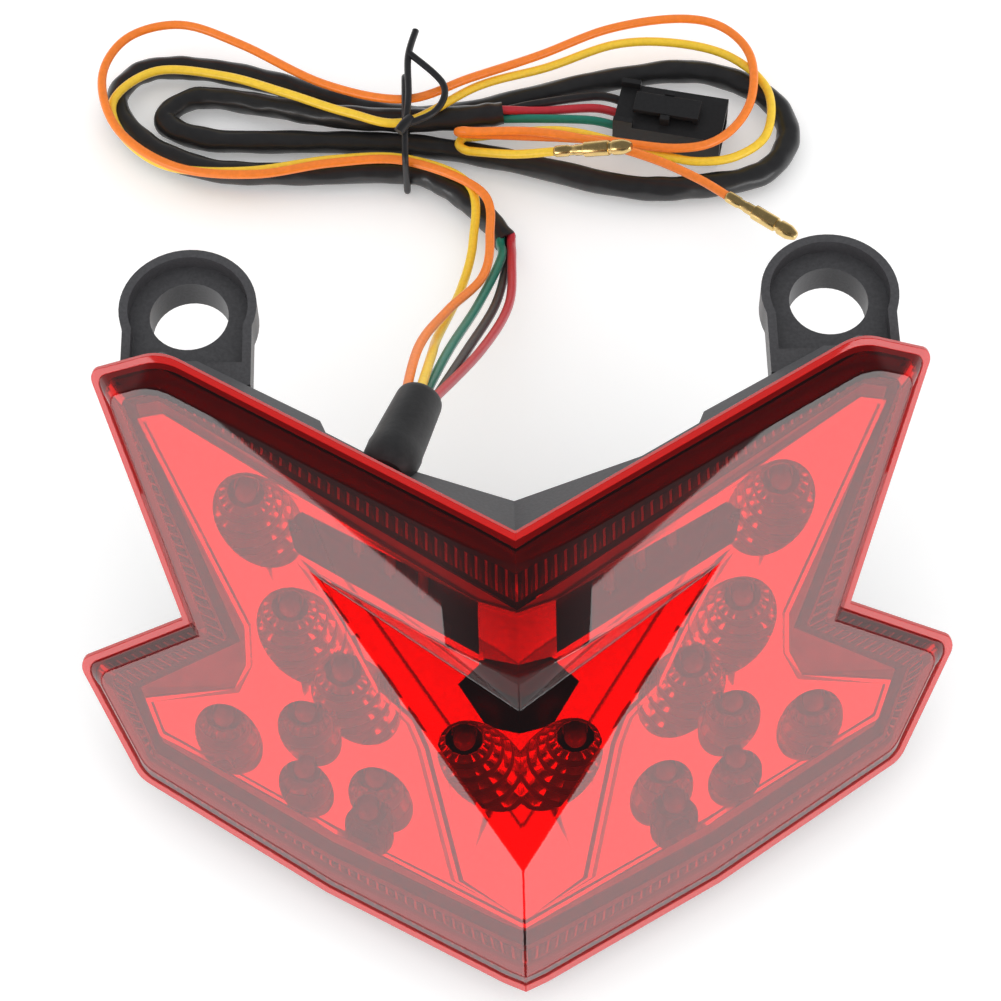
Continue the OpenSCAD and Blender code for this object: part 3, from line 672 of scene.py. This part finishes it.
def cup_lines(cup):
    """Hole edge, rings, sector lines and rim of one cup, and the points between them."""
    u, a = cup[0], cup[1]
    turns = SECTORS * FINE
    angles = [2 * math.pi * k / turns for k in range(turns + 1)]
    reach = [cup_reach(cup, angle) for angle in angles]

    def at(radius, angle):
        return (u + radius * math.cos(angle), a + radius * math.sin(angle))

    lines = [[at(HOLE_R, angle) for angle in angles], [at(r, angle) for r, angle in zip(reach, angles)]]
    points = []
    step = RING_PITCH / FINE

    def store(run, on_ring):
        if not on_ring:
            points.extend(run)
        elif len(run) > 1:
            lines.append(run)

    for k in range(1, int((max(reach) - HOLE_R) / step) + 1):
        radius = HOLE_R + k * step
        run = []
        for r, angle in zip(reach, angles):
            p = at(radius, angle)
            if radius < r - CUP_MARGIN and owns(cup, p):
                run.append(p)
                continue
            store(run, k % FINE == 0)
            run = []
        store(run, k % FINE == 0)
    for k in range(0, turns, FINE):
        last = int((reach[k] - HOLE_R - CUP_MARGIN) / step)
        run = [at(HOLE_R + j * step, angles[k]) for j in range(last + 1)]
        store([p for p in run if owns(cup, p)], True)
    return lines, points


def build_reflector():
    outline = list(REFLECTOR)
    lines = [inset_all(REFLECTOR, RIM_LIP), inset_all(REFLECTOR, RIM_FOOT)]
    lines += [WINDOW + WINDOW[:1], RECESS_OPENING, DIVIDER]
    lines += [shifted(DIVIDER, d) for d in (-DIVIDER_FOOT, -DIVIDER_HALF, DIVIDER_HALF, DIVIDER_FOOT)]
    points = []
    for cup in CUPS:
        more_lines, more_points = cup_lines(cup)
        lines += more_lines
        points += more_points

    def keep(m):
        if not inside(m, outline) or inside(m, WINDOW) or inside(m, RECESS_OPENING):
            return False
        return all(math.hypot(m[0] - c[0], m[1] - c[1]) > HOLE_R - HOLE_SLACK for c in CUPS)

    points = [p for p in points if p[0] > SNAP]
    flat, faces = crease_mesh(outline, lines, points, keep)
    heights = [reflector_height(p) for p in flat]
    verts = [world_point(u, a, h) for (u, a), h in zip(flat, heights)]
    n = len(verts)
    verts += [world_point(-u, a, h) for (u, a), h in zip(flat, heights)]
    solid = list(faces) + [tuple(i + n for i in reversed(f)) for f in faces]
    rim = full(REFLECTOR)
    first = len(verts)
    for level in (RIM_LEVEL - RIM_RISE, RIM_LEVEL + SKIRT):
        verts += [world_point(u, a, face_h(u, a, level)) for u, a in rim]
    m = len(rim)
    for k in range(m):
        j = (k + 1) % m
        solid.append((first + k, first + j, first + m + j, first + m + k))
    obj = piece("reflector_bowl", verts, solid, "chrome", node="reflector", degrees=FACET_ANGLE)
    # The risers on the cups' lower sides get the painted highlight instead of chrome.
    obj.data.materials.append(RISER_HIGHLIGHT_MATERIAL)
    for number, face in enumerate(faces):
        middle = [sum(flat[i][k] for i in face) / 3 for k in (0, 1)]
        if in_riser_highlight(middle):
            obj.data.polygons[number].material_index = 1
            obj.data.polygons[number + len(faces)].material_index = 1
    bm = bmesh.new()
    bm.from_mesh(obj.data)
    bmesh.ops.remove_doubles(bm, verts=bm.verts, dist=WELD)
    bm.to_mesh(obj.data)
    bm.free()
    smooth_by_angle(obj.data, FACET_ANGLE)


# ---------------------------------------------------------------- border between lens and reflector
RIB_INNER = [
    (0, 15.3), (77.5, 45.6), (86.4, 42.6), (64.6, -6), (88.5, -21.3), (82.4, -36.0),
    (42.6, -50.6), (5, -60.1), (0, -61),
]
RIB_MARGIN = [8.6, 8.0, 4.4, 4.4, 4.8, 4.4, 4.4, 4.4]
RIB_PITCH = 2.2
RIB_RISE = 0.7
RIB_STEPS = 8
RIB_ACROSS = 5
SWELL_FROM, SWELL_SPAN = 0.12, 0.76
LEDGE_INSET = 4.2
LEDGE_LEVEL = 5.9
RIB_LEVEL = 5.6
GROOVE_SIDE = 0.3
GROOVE_WIDTH = 2.6
GROOVE_LEVEL = 7.0
SLOPE_FOOT = 8.4
SLOPE_TOP = 7.4
ON_RIM = 0.01


def band(name, outer, inner, outer_level, inner_level, material, slot, across=1, rise=0.0):
    """Strip between two outlines, plain or fluted across its width."""
    verts, faces, rows = [], [], []
    outer_ring, inner_ring = full(outer), full(inner)
    count = len(outer_ring)
    for i in range(count):
        o1, o2 = outer_ring[i], outer_ring[(i + 1) % count]
        i1, i2 = inner_ring[i], inner_ring[(i + 1) % count]
        length = math.hypot(o2[0] - o1[0], o2[1] - o1[1])
        ribs = max(1, round(length / RIB_PITCH)) if rise else 1
        steps = ribs * RIB_STEPS if rise else 1
        for k in range(steps):
            t = k / steps
            lift = rise * abs(math.sin(math.pi * ribs * t))
            row = []
            for j in range(across + 1):
                w = j / across
                u, a = lerp(lerp(o1, o2, t), lerp(i1, i2, t), w)
                level = outer_level + (inner_level - outer_level) * w
                swell = lift * math.sin(math.pi * (SWELL_FROM + SWELL_SPAN * w))
                row.append(len(verts))
                verts.append(world_point(u, a, face_h(u, a, level) + swell))
            rows.append(row)
    for k, row in enumerate(rows):
        after = rows[(k + 1) % len(rows)]
        for j in range(across):
            faces.append((row[j], after[j], after[j + 1], row[j + 1]))
    obj = piece(name, verts, faces, slot, degrees=BAND_ANGLE, material=material)
    if rise:
        obj.data.materials.append(CELL_MATERIAL)
        # Faces next to each rib's edges get the painted highlight; the rest keep the ribs' dark plastic.
        for number, polygon in enumerate(obj.data.polygons):
            on_edge = (number // across) % RIB_STEPS in (0, RIB_STEPS - 1)
            polygon.material_index = 0 if on_edge else 1


def build_slope():
    """Sloped strip from the groove up to the rim of the reflector."""
    outer, inner = full(inset_all(RIB_INNER, GROOVE_WIDTH)), full(REFLECTOR)
    flat, faces = crease_mesh(
        outer, [inner + inner[:1], [outer[0], outer[len(outer) // 2]]], [],
        lambda m: inside(m, outer) and not inside(m, inner),
    )
    verts = []
    for u, a in flat:
        rim = distance_to((abs(u), a), REFLECTOR) < ON_RIM
        verts.append(world_point(u, a, face_h(u, a, SLOPE_TOP if rim else SLOPE_FOOT)))
    piece("border_slope", verts, faces, "chrome", degrees=FACET_ANGLE, material=SLOPE_MATERIAL)


def build_border():
    rib_outer = inset_half(FLANGE, RIB_MARGIN)
    side_foot = inset_all(RIB_INNER, GROOVE_SIDE)
    groove_inner = inset_all(RIB_INNER, GROOVE_WIDTH)
    band(
        "border_ledge", inset_all(FLANGE, LEDGE_INSET), rib_outer, LEDGE_LEVEL, LEDGE_LEVEL,
        CELL_MATERIAL, "black_plastic",
    )
    # The ribs are dark plastic with painted highlights along their edges.
    band(
        "border_ribs", rib_outer, RIB_INNER, LEDGE_LEVEL, RIB_LEVEL,
        RIB_HIGHLIGHT_MATERIAL, "chrome", RIB_ACROSS, RIB_RISE,
    )
    # The groove's side wears the painted highlight too.
    band("border_groove_side", RIB_INNER, side_foot, RIB_LEVEL, GROOVE_LEVEL, RIB_HIGHLIGHT_MATERIAL, "chrome")
    # The groove floor is a dark sheet: black housing behind the gap, darkened further as painted shade.
    band(
        "border_groove", side_foot, groove_inner, GROOVE_LEVEL, SLOPE_FOOT,
        GROOVE_SHADE_MATERIAL, "black_plastic",
    )
    build_slope()


# ---------------------------------------------------------------- tubes
PATH_STEPS = 10
WIRE_SIDES = 14
BORE_SHARE = 0.82


def smooth_path(points, steps):
    """Catmull-Rom curve through the points."""
    pts = [Vector(p) for p in points]
    result = []
    for i in range(len(pts) - 1):
        a, b, c = pts[max(i - 1, 0)], pts[i], pts[i + 1]
        d = pts[min(i + 2, len(pts) - 1)]
        for k in range(steps):
            t = k / steps
            result.append(0.5 * (
                2 * b + (c - a) * t + (2 * a - 5 * b + 4 * c - d) * t * t + (3 * b - a - 3 * c + d) * t ** 3
            ))
    return result + [pts[-1]]


def ring_faces(i, j, sides):
    """Four-sided faces between rings number i and j."""
    faces = []
    for k in range(sides):
        m = (k + 1) % sides
        faces.append((i * sides + k, i * sides + m, j * sides + m, j * sides + k))
    return faces


def hollow_end(verts, faces, order, centre, inward, forward):
    """Adds the end face of the wall and the start of the bore; returns the bore's last ring."""
    first, sides = len(verts), len(order)
    inner_edge = [centre + (verts[i] - centre) * BORE_SHARE for i in order]
    verts += inner_edge
    verts += [p + inward for p in inner_edge]
    inner = list(range(first, first + sides))
    deep = list(range(first + sides, first + 2 * sides))
    for one, two in ((order, inner), (inner, deep)):
        for k in range(sides):
            m = (k + 1) % sides
            quad = (one[k], one[m], two[m], two[k])
            faces.append(tuple(reversed(quad)) if forward else quad)
    return deep


def tube_mesh(path, radius_at, sides, closed=False, open_end=0.0):
    """Rings along a path in millimetres; radius_at(share, turn) gives the radius."""
    n = len(path)
    tangents = []
    for i in range(n):
        if closed:
            tangents.append((path[(i + 1) % n] - path[i - 1]).normalized())
        else:
            tangents.append((path[min(i + 1, n - 1)] - path[max(i - 1, 0)]).normalized())
    normal = tangents[0].orthogonal().normalized()
    verts, faces = [], []
    for i in range(n):
        normal = (normal - tangents[i] * normal.dot(tangents[i])).normalized()
        other = tangents[i].cross(normal)
        for k in range(sides):
            turn = 2 * math.pi * k / sides
            r = radius_at(i / (n - 1), turn)
            verts.append((path[i] + (normal * math.cos(turn) + other * math.sin(turn)) * r) * MM)
    for i in range(n if closed else n - 1):
        faces += ring_faces(i, (i + 1) % n, sides)
    if closed:
        return verts, faces
    for end, step in ((0, 1), (n - 1, -1)):
        forward = step > 0
        order = list(range(end * sides, (end + 1) * sides))
        if open_end:
            inward = tangents[end] * step * open_end * MM
            order = hollow_end(verts, faces, order, path[end] * MM, inward, forward)
        faces.append(tuple(reversed(order)) if forward else tuple(order))
    return verts, faces


def lathe(origin, axis, profile, sides):
    """Surface of revolution from (distance along, radius) pairs in millimetres."""
    normal = axis.orthogonal().normalized()
    other = axis.cross(normal)
    verts, faces = [], []
    for x, r in profile:
        for k in range(sides):
            turn = 2 * math.pi * k / sides
            out = normal * math.cos(turn) + other * math.sin(turn)
            verts.append((origin + axis * x + out * r) * MM)
    for i in range(len(profile) - 1):
        faces += ring_faces(i, i + 1, sides)
    faces.append(tuple(reversed(range(sides))))
    last = (len(profile) - 1) * sides
    faces.append(tuple(range(last, last + sides)))
    return verts, faces


def joined(parts):
    verts, faces = [], []
    for more_verts, more_faces in parts:
        base = len(verts)
        verts += more_verts
        faces += [tuple(i + base for i in face) for face in more_faces]
    return verts, faces


def round_wire(points, diameter):
    return tube_mesh(smooth_path(points, PATH_STEPS), lambda share, turn: diameter / 2, WIRE_SIDES)


# ---------------------------------------------------------------- harness
WIRE_D = 2.3
# A wire starts START_OUT beyond the boot's mouth less START_BACK, so that its end is hidden inside.
START_OUT, START_BACK = 0.4, 3
SLEEVE_Z, YELLOW_Z, ORANGE_Z = 4.2, 8.7, 11.3
ORANGE_LEAD_Z = 14.4
BOOT_MOUTH = Vector((-20, 67.5, 71))
BOOT_ROOT = Vector((-26, 50.5, 74.6))
BOOT_DIR = (BOOT_MOUTH - BOOT_ROOT).normalized()
PLUG_TURN = math.radians(-13)
PLUG_CENTRE = Vector((43.5, 190.5, 0))
PLUG_L = 28
SLEEVE_R = 3.0
SLEEVE_SIDES = 24
SLEEVE_STEPS = 12
SLEEVE_BORE = 6.0
TIE_X = -25
TIE_R = 0.85
TIE_SIDES = 12
TIE_CORNER = 3.0
TIE_CORNER_STEPS = 6
TAIL_D, KNOT_D = 1.8, 2.8
BOOT_SIDES = 40
BULLET_SIDES = 28
BULLET_GAP = 0.1
# Crimp, neck, barrel, groove and tip of a bullet, as distance along it and radius.
BULLET = [
    (0.0, 1.2), (0.3, 1.45), (0.6, 1.5), (3.6, 1.5), (4.0, 1.28), (5.4, 1.28), (5.8, 1.45), (8.0, 1.45),
    (8.3, 1.9), (8.6, 1.95), (14.7, 1.95), (15.0, 1.85), (15.1, 1.55), (15.9, 1.55), (16.0, 1.85),
    (16.3, 1.95), (18.6, 1.95), (19.2, 1.8), (20.6, 1.25), (21.0, 0.9),
]


def at_z(z, points):
    return [(x, y, z) for x, y in points]


def at_mouth(across, up):
    return BOOT_MOUTH + BOOT_DIR * START_OUT + Vector((across, 0, up)) - BOOT_DIR * START_BACK


def on_plug(x, y, z):
    c, s = math.cos(PLUG_TURN), math.sin(PLUG_TURN)
    return PLUG_CENTRE + Vector((x * c - y * s, x * s + y * c, z))


YELLOW_PATH = [at_mouth(0.2, 2.5), (-18, 90.5, 52.4), (-16.8, 104.5, 38.7), (-11.5, 132.5, 16.6)]
YELLOW_PATH += [(-8.3, 152, 9.2)] + at_z(YELLOW_Z, [
    (-9, 170), (-25, 178.6), (-44, 179), (-66, 176), (-86, 178), (-98, 188), (-101, 200), (-90, 209),
]) + [(-72, 206, 9.6), (-56, 198, 12.2), (-40, 190.5, 13.2), (-25, 187, 13.2), (-6, 198.5, 12.6)]
YELLOW_PATH += at_z(YELLOW_Z, [
    (12, 207), (30, 214), (46, 214), (60, 209), (69, 198), (68, 184), (60, 177), (50, 175.5), (40, 178),
    (30, 182), (14, 186.5), (-8, 185),
])
ORANGE_PATH = [at_mouth(-3.1, -0.3), (-20.9, 91.5, 54.4), (-14.6, 112.5, 37.3), (-6, 133.5, 20.6)]
ORANGE_PATH += [(-4, 150, 14.2)] + at_z(ORANGE_Z, [
    (-6, 166), (-25, 176), (-44, 176), (-64, 173), (-84, 176), (-99, 188), (-104, 205), (-98, 218),
    (-84, 222), (-68, 215),
]) + [(-46, 200, 13), (-25, 192.5, 15.6), (-8, 199, 15.4)]
ORANGE_PATH += at_z(ORANGE_Z, [
    (10, 209), (28, 217), (46, 220), (58, 217), (65, 207), (64, 192), (56, 181), (44, 178), (22, 181.5),
    (-8, 184),
])
SLEEVE_PATH = [(0, 155, 4.4)] + at_z(SLEEVE_Z, [
    (-5, 163), (-14, 172), (-25, 177.4), (-54, 178), (-76, 180), (-93, 189), (-101, 202), (-95, 212),
    (-81, 213), (-61, 208), (-44, 201), (-25, 195.6), (-7, 197), (24, 205), (50, 208), (68, 200),
    (74, 187), (67, 175), (50, 171), (31, 171.5), (0, 181), (-25, 186.4), (-48, 188), (-76, 189.5),
    (-88, 196),
]) + [(-80, 203, 4.4), (-62, 199.5, 5.2)]
SLEEVE_PATH += at_z(8.6, [(-44, 193), (-25, 191), (-10, 191.5), (0, 192.5)])


def plug_wire(across, up, y_spread, y_plug):
    """From inside the sleeve's open end, spreading out to the plug."""
    return [
        Vector((-4, 192.1 + across, 8.6 + up)), Vector((0, 192.5 + across, 8.6 + up)),
        Vector((10, 193.1 + y_spread, 8.4)), on_plug(-PLUG_L / 2 - 6, y_plug, 6.5),
        on_plug(-PLUG_L / 2 + 2, y_plug, 5.5),
    ]


def pigtail(across, up, bow, end_x, end_z):
    """From the boot's mouth down into the sleeve's near end."""
    return [
        at_mouth(across, up), (-13 + bow, 96, 45), (-6 + bow, 122, 25), (end_x, 145, 10 + end_z),
        (end_x, 152.8, 5 + end_z), (end_x, 156.5, 4.4 + end_z * 0.8),
    ]


def sleeve_radius(share, turn):
    """Two waves along and round the sleeve make it look creased, and it is a little oval."""
    crumple = 0.10 * math.sin(share * 260 + 2 * turn) + 0.08 * math.sin(share * 431 - 3 * turn)
    return SLEEVE_R + crumple + 0.12 * math.cos(2 * turn + share * 30)


def across_joint(obj):
    """The wires leave the boot on the lamp and run down to the harness; here only their placement is baked
    into the mesh.
    """
    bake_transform(obj)


def build_wires():
    for color, paths in (
        ("yellow", [YELLOW_PATH]),
        ("orange", [ORANGE_PATH]),
        ("black", [pigtail(2.2, -2.2, 2.9, -0.1, -1.5), plug_wire(1.3, -0.7, 2.5, 4)]),
        ("red", [pigtail(3.1, 1.5, 6.2, 1.35, 1.2), plug_wire(0, 1.4, 0, 0)]),
        ("green", [pigtail(-0.3, -2.8, -1.4, -1.4, 1.25), plug_wire(-1.3, -0.7, -2.5, -4)]),
    ):
        verts, faces = joined([round_wire(path, WIRE_D) for path in paths])
        node = f"wire_{color}"
        across_joint(piece(f"{node}_run", verts, faces, f"{node}_pvc", None, node, TUBE_ANGLE))


def build_sleeve():
    path = smooth_path(SLEEVE_PATH, SLEEVE_STEPS)
    verts, faces = tube_mesh(path, sleeve_radius, SLEEVE_SIDES, open_end=SLEEVE_BORE)
    piece("sleeve_run", verts, faces, "sleeve_pvc", "harness", "harness_sleeve", TUBE_ANGLE)


def build_tie():
    low_y, high_y, low_z, high_z = 172.6, 199.8, 0.95, 17.4
    r = TIE_CORNER
    loop = []
    for cy, cz, start in (
        (high_y - r, high_z - r, 0), (low_y + r, high_z - r, 90),
        (low_y + r, low_z + r, 180), (high_y - r, low_z + r, 270),
    ):
        for k in range(TIE_CORNER_STEPS + 1):
            angle = math.radians(start + 90 * k / TIE_CORNER_STEPS)
            loop.append(Vector((TIE_X, cy + r * math.cos(angle), cz + r * math.sin(angle))))
    band_mesh = tube_mesh(loop, lambda share, turn: TIE_R, TIE_SIDES, closed=True)
    tail = round_wire([(TIE_X, 181, 18.3), (-24, 191, 19), (-24, 203, 19.4), (-22, 212, 19)], TAIL_D)
    side = round_wire([(TIE_X, 182, 18.6), (-17, 186, 19), (-15, 194, 19.4), (-23.6, 204, 19.8)], TAIL_D)
    knot = round_wire([(-26.5, 180, 18.4), (TIE_X, 182, 18.9), (-23.4, 184, 18.6)], KNOT_D)
    verts, faces = joined([band_mesh, tail, side, knot])
    piece("tie_band", verts, faces, "tie_plastic", "harness", "twist_tie", TUBE_ANGLE)


def build_boot():
    """A solid cone with a shallow mouth, as distance along it and radius."""
    length = (BOOT_MOUTH - BOOT_ROOT).length
    profile = [
        (-6.0, 3.0), (-5.8, 4.6), (-4.6, 5.6), (-2.0, 6.2), (1.0, 6.3), (2.0, 6.1), (length * 0.45, 5.8),
        (length - 1.6, 5.35), (length - 0.8, 5.2), (length - 0.25, 4.9), (length, 4.5), (length - 0.2, 4.1),
        (length - 2.5, 3.9), (length - 2.6, 0.3),
    ]
    verts, faces = lathe(BOOT_ROOT, BOOT_DIR, profile, BOOT_SIDES)
    piece("boot_cone", verts, faces, "black_rubber", "lamp", "wire_boot", TURNED_ANGLE)


def build_leads():
    """Each lead turns back in a small hairpin from the end of its wire, and carries its bullet."""
    yellow_turn = [YELLOW_PATH[-1], (-10.2, 184.85, 8.75), (-11.4, 182.5, 9.05), (-10, 180.6, 9.3)]
    yellow = [(-7, 179.8, 9.4), (3, 176.8, 12), (13, 174.4, 16)]
    orange_turn = [ORANGE_PATH[-1], (-10, 184.17, 11.4), (-11.6, 183.9, 12.6), (-10, 183, 14.2)]
    orange = at_z(ORANGE_LEAD_Z, [(-7, 182.5), (8, 182), (23, 178.5), (38, 172.5), (49, 166), (56, 160.5)])
    for color, turn, path in (("yellow", yellow_turn, yellow), ("orange", orange_turn, orange)):
        body = f"{color}_lead"
        node = f"lead_{color}"
        verts, faces = round_wire(turn + path, WIRE_D)
        obj = piece(f"{node}_run", verts, faces, f"wire_{color}_pvc", None, node, TUBE_ANGLE)
        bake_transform(obj)
        end = Vector(path[-1])
        axis = (end - Vector(path[-2])).normalized()
        verts, faces = lathe(end + axis * BULLET_GAP, axis, BULLET, BULLET_SIDES)
        piece(f"bullet_{color}_pin", verts, faces, "brass", body, f"bullet_{color}", TURNED_ANGLE)


# ---------------------------------------------------------------- assembly
build_lens()
build_reflector()
build_border()
softened("housing", "black_plastic", "lamp", 0.5)
build_boot()
build_wires()
build_sleeve()
build_tie()
softened("plug_housing", "plug_plastic", "harness", 0.35)
softened("plug_latch", "plug_plastic", "latch", 0.25)
build_leads()

NODE_SLOTS = {s["node"]: s["material_slot"] for s in frame["record"]["subparts"]}
for name, node in nodes.items():
    node.data.materials.clear()
    node.data.materials.append(MATERIALS[NODE_SLOTS[name]])


# ---------------------------------------------------------------- studio
FLOOR_HALF = 3.0
FLOOR_GAP = 0.0005
CAMERA_HEIGHT = math.radians(60.0)
CAMERA_ROLL = math.radians(1.4)
CAMERA_X, CAMERA_Y, CAMERA_Z = -0.00296, -0.2906, 0.6448
LAMP_POINT = Vector((0, 0.01, 0.05)) - EAR_PAIR


def build_floor():
    size = FLOOR_HALF
    mesh = bpy.data.meshes.new("studio_floor")
    low = cad_box[0][2] - FLOOR_GAP
    corners = [(-size, -size, low), (size, -size, low), (size, size, low), (-size, size, low)]
    mesh.from_pydata(corners, [], [(0, 1, 2, 3)])
    material, _, bsdf = new_material("studio_floor")
    bsdf.inputs["Base Color"].default_value = (0.93, 0.93, 0.93, 1)
    bsdf.inputs["Roughness"].default_value = 0.9
    bsdf.inputs["Specular IOR Level"].default_value = 0.0
    bsdf.inputs["Emission Color"].default_value = (1, 1, 1, 1)
    bsdf.inputs["Emission Strength"].default_value = 0.22
    mesh.materials.append(material)
    obj = bpy.data.objects.new("studio_floor", mesh)
    bpy.context.scene.collection.objects.link(obj)


def softbox(name, direction, distance, width, height, radiance, target, spin):
    light = bpy.data.lights.new(name, "AREA")
    light.shape = "RECTANGLE"
    light.size = width
    light.size_y = height
    light.energy = radiance * width * height * math.pi
    obj = bpy.data.objects.new(name, light)
    bpy.context.scene.collection.objects.link(obj)
    direction = Vector(direction).normalized()
    obj.location = Vector(target) + direction * distance
    aim = direction.to_track_quat("Z", "Y")
    obj.rotation_euler = (aim @ Quaternion((0, 0, 1), math.radians(spin))).to_euler()


def build_world():
    """White all round, with a darker top for what the shiny surfaces see."""
    world = bpy.data.worlds.new("studio")
    bpy.context.scene.world = world
    world.use_nodes = True
    tree = world.node_tree
    background = tree.nodes["Background"]
    coords = tree.nodes.new("ShaderNodeTexCoord")
    split = tree.nodes.new("ShaderNodeSeparateXYZ")
    ramp = tree.nodes.new("ShaderNodeValToRGB")
    ramp.color_ramp.elements[0].position = 0.0
    ramp.color_ramp.elements[0].color = (0.9, 0.9, 0.9, 1)
    ramp.color_ramp.elements[1].position = 0.55
    ramp.color_ramp.elements[1].color = (0.16, 0.16, 0.17, 1)
    path = tree.nodes.new("ShaderNodeLightPath")
    shiny = tree.nodes.new("ShaderNodeMath")
    shiny.operation = "MAXIMUM"
    mix = tree.nodes.new("ShaderNodeMix")
    mix.data_type = "RGBA"
    tree.links.new(coords.outputs["Generated"], split.inputs["Vector"])
    tree.links.new(split.outputs["Z"], ramp.inputs["Fac"])
    tree.links.new(path.outputs["Is Glossy Ray"], shiny.inputs[0])
    tree.links.new(path.outputs["Is Transmission Ray"], shiny.inputs[1])
    tree.links.new(shiny.outputs["Value"], mix.inputs["Factor"])
    color_inputs = [socket for socket in mix.inputs if socket.type == "RGBA"]
    color_inputs[0].default_value = (1.0, 1.0, 1.0, 1)
    tree.links.new(ramp.outputs["Color"], color_inputs[1])
    color_output = next(socket for socket in mix.outputs if socket.type == "RGBA")
    tree.links.new(color_output, background.inputs["Color"])


def build_camera():
    camera = bpy.data.cameras.new("camera")
    camera.lens = 110.0
    camera.sensor_width = 36.0
    obj = bpy.data.objects.new("camera", camera)
    bpy.context.scene.collection.objects.link(obj)
    back = Vector((0, -math.cos(CAMERA_HEIGHT), math.sin(CAMERA_HEIGHT)))
    right = Vector((1, 0, 0))
    up = back.cross(right)
    rolled_right = right * math.cos(CAMERA_ROLL) - up * math.sin(CAMERA_ROLL)
    rolled_up = right * math.sin(CAMERA_ROLL) + up * math.cos(CAMERA_ROLL)
    obj.matrix_world = Matrix((
        (rolled_right.x, rolled_up.x, back.x, CAMERA_X - EAR_PAIR.x),
        (rolled_right.y, rolled_up.y, back.y, CAMERA_Y - EAR_PAIR.y),
        (rolled_right.z, rolled_up.z, back.z, CAMERA_Z - EAR_PAIR.z),
        (0, 0, 0, 1),
    ))
    bpy.context.scene.camera = obj


build_floor()
build_world()
build_camera()
for side in (-1, 1):
    softbox(
        f"softbox_{side}", direction=(side * 0.707, -0.690, 0.140), distance=1.23, width=0.80, height=0.42,
        radiance=4.0, target=LAMP_POINT, spin=side * 9,
    )

scene = bpy.context.scene
scene.view_settings.view_transform = "Standard"
scene.cycles.max_bounces = 16
scene.cycles.transmission_bounces = 12
scene.cycles.glossy_bounces = 8
scene.cycles.transparent_max_bounces = 16
scene.cycles.caustics_reflective = False
scene.cycles.caustics_refractive = False
scene.cycles.use_denoising = True
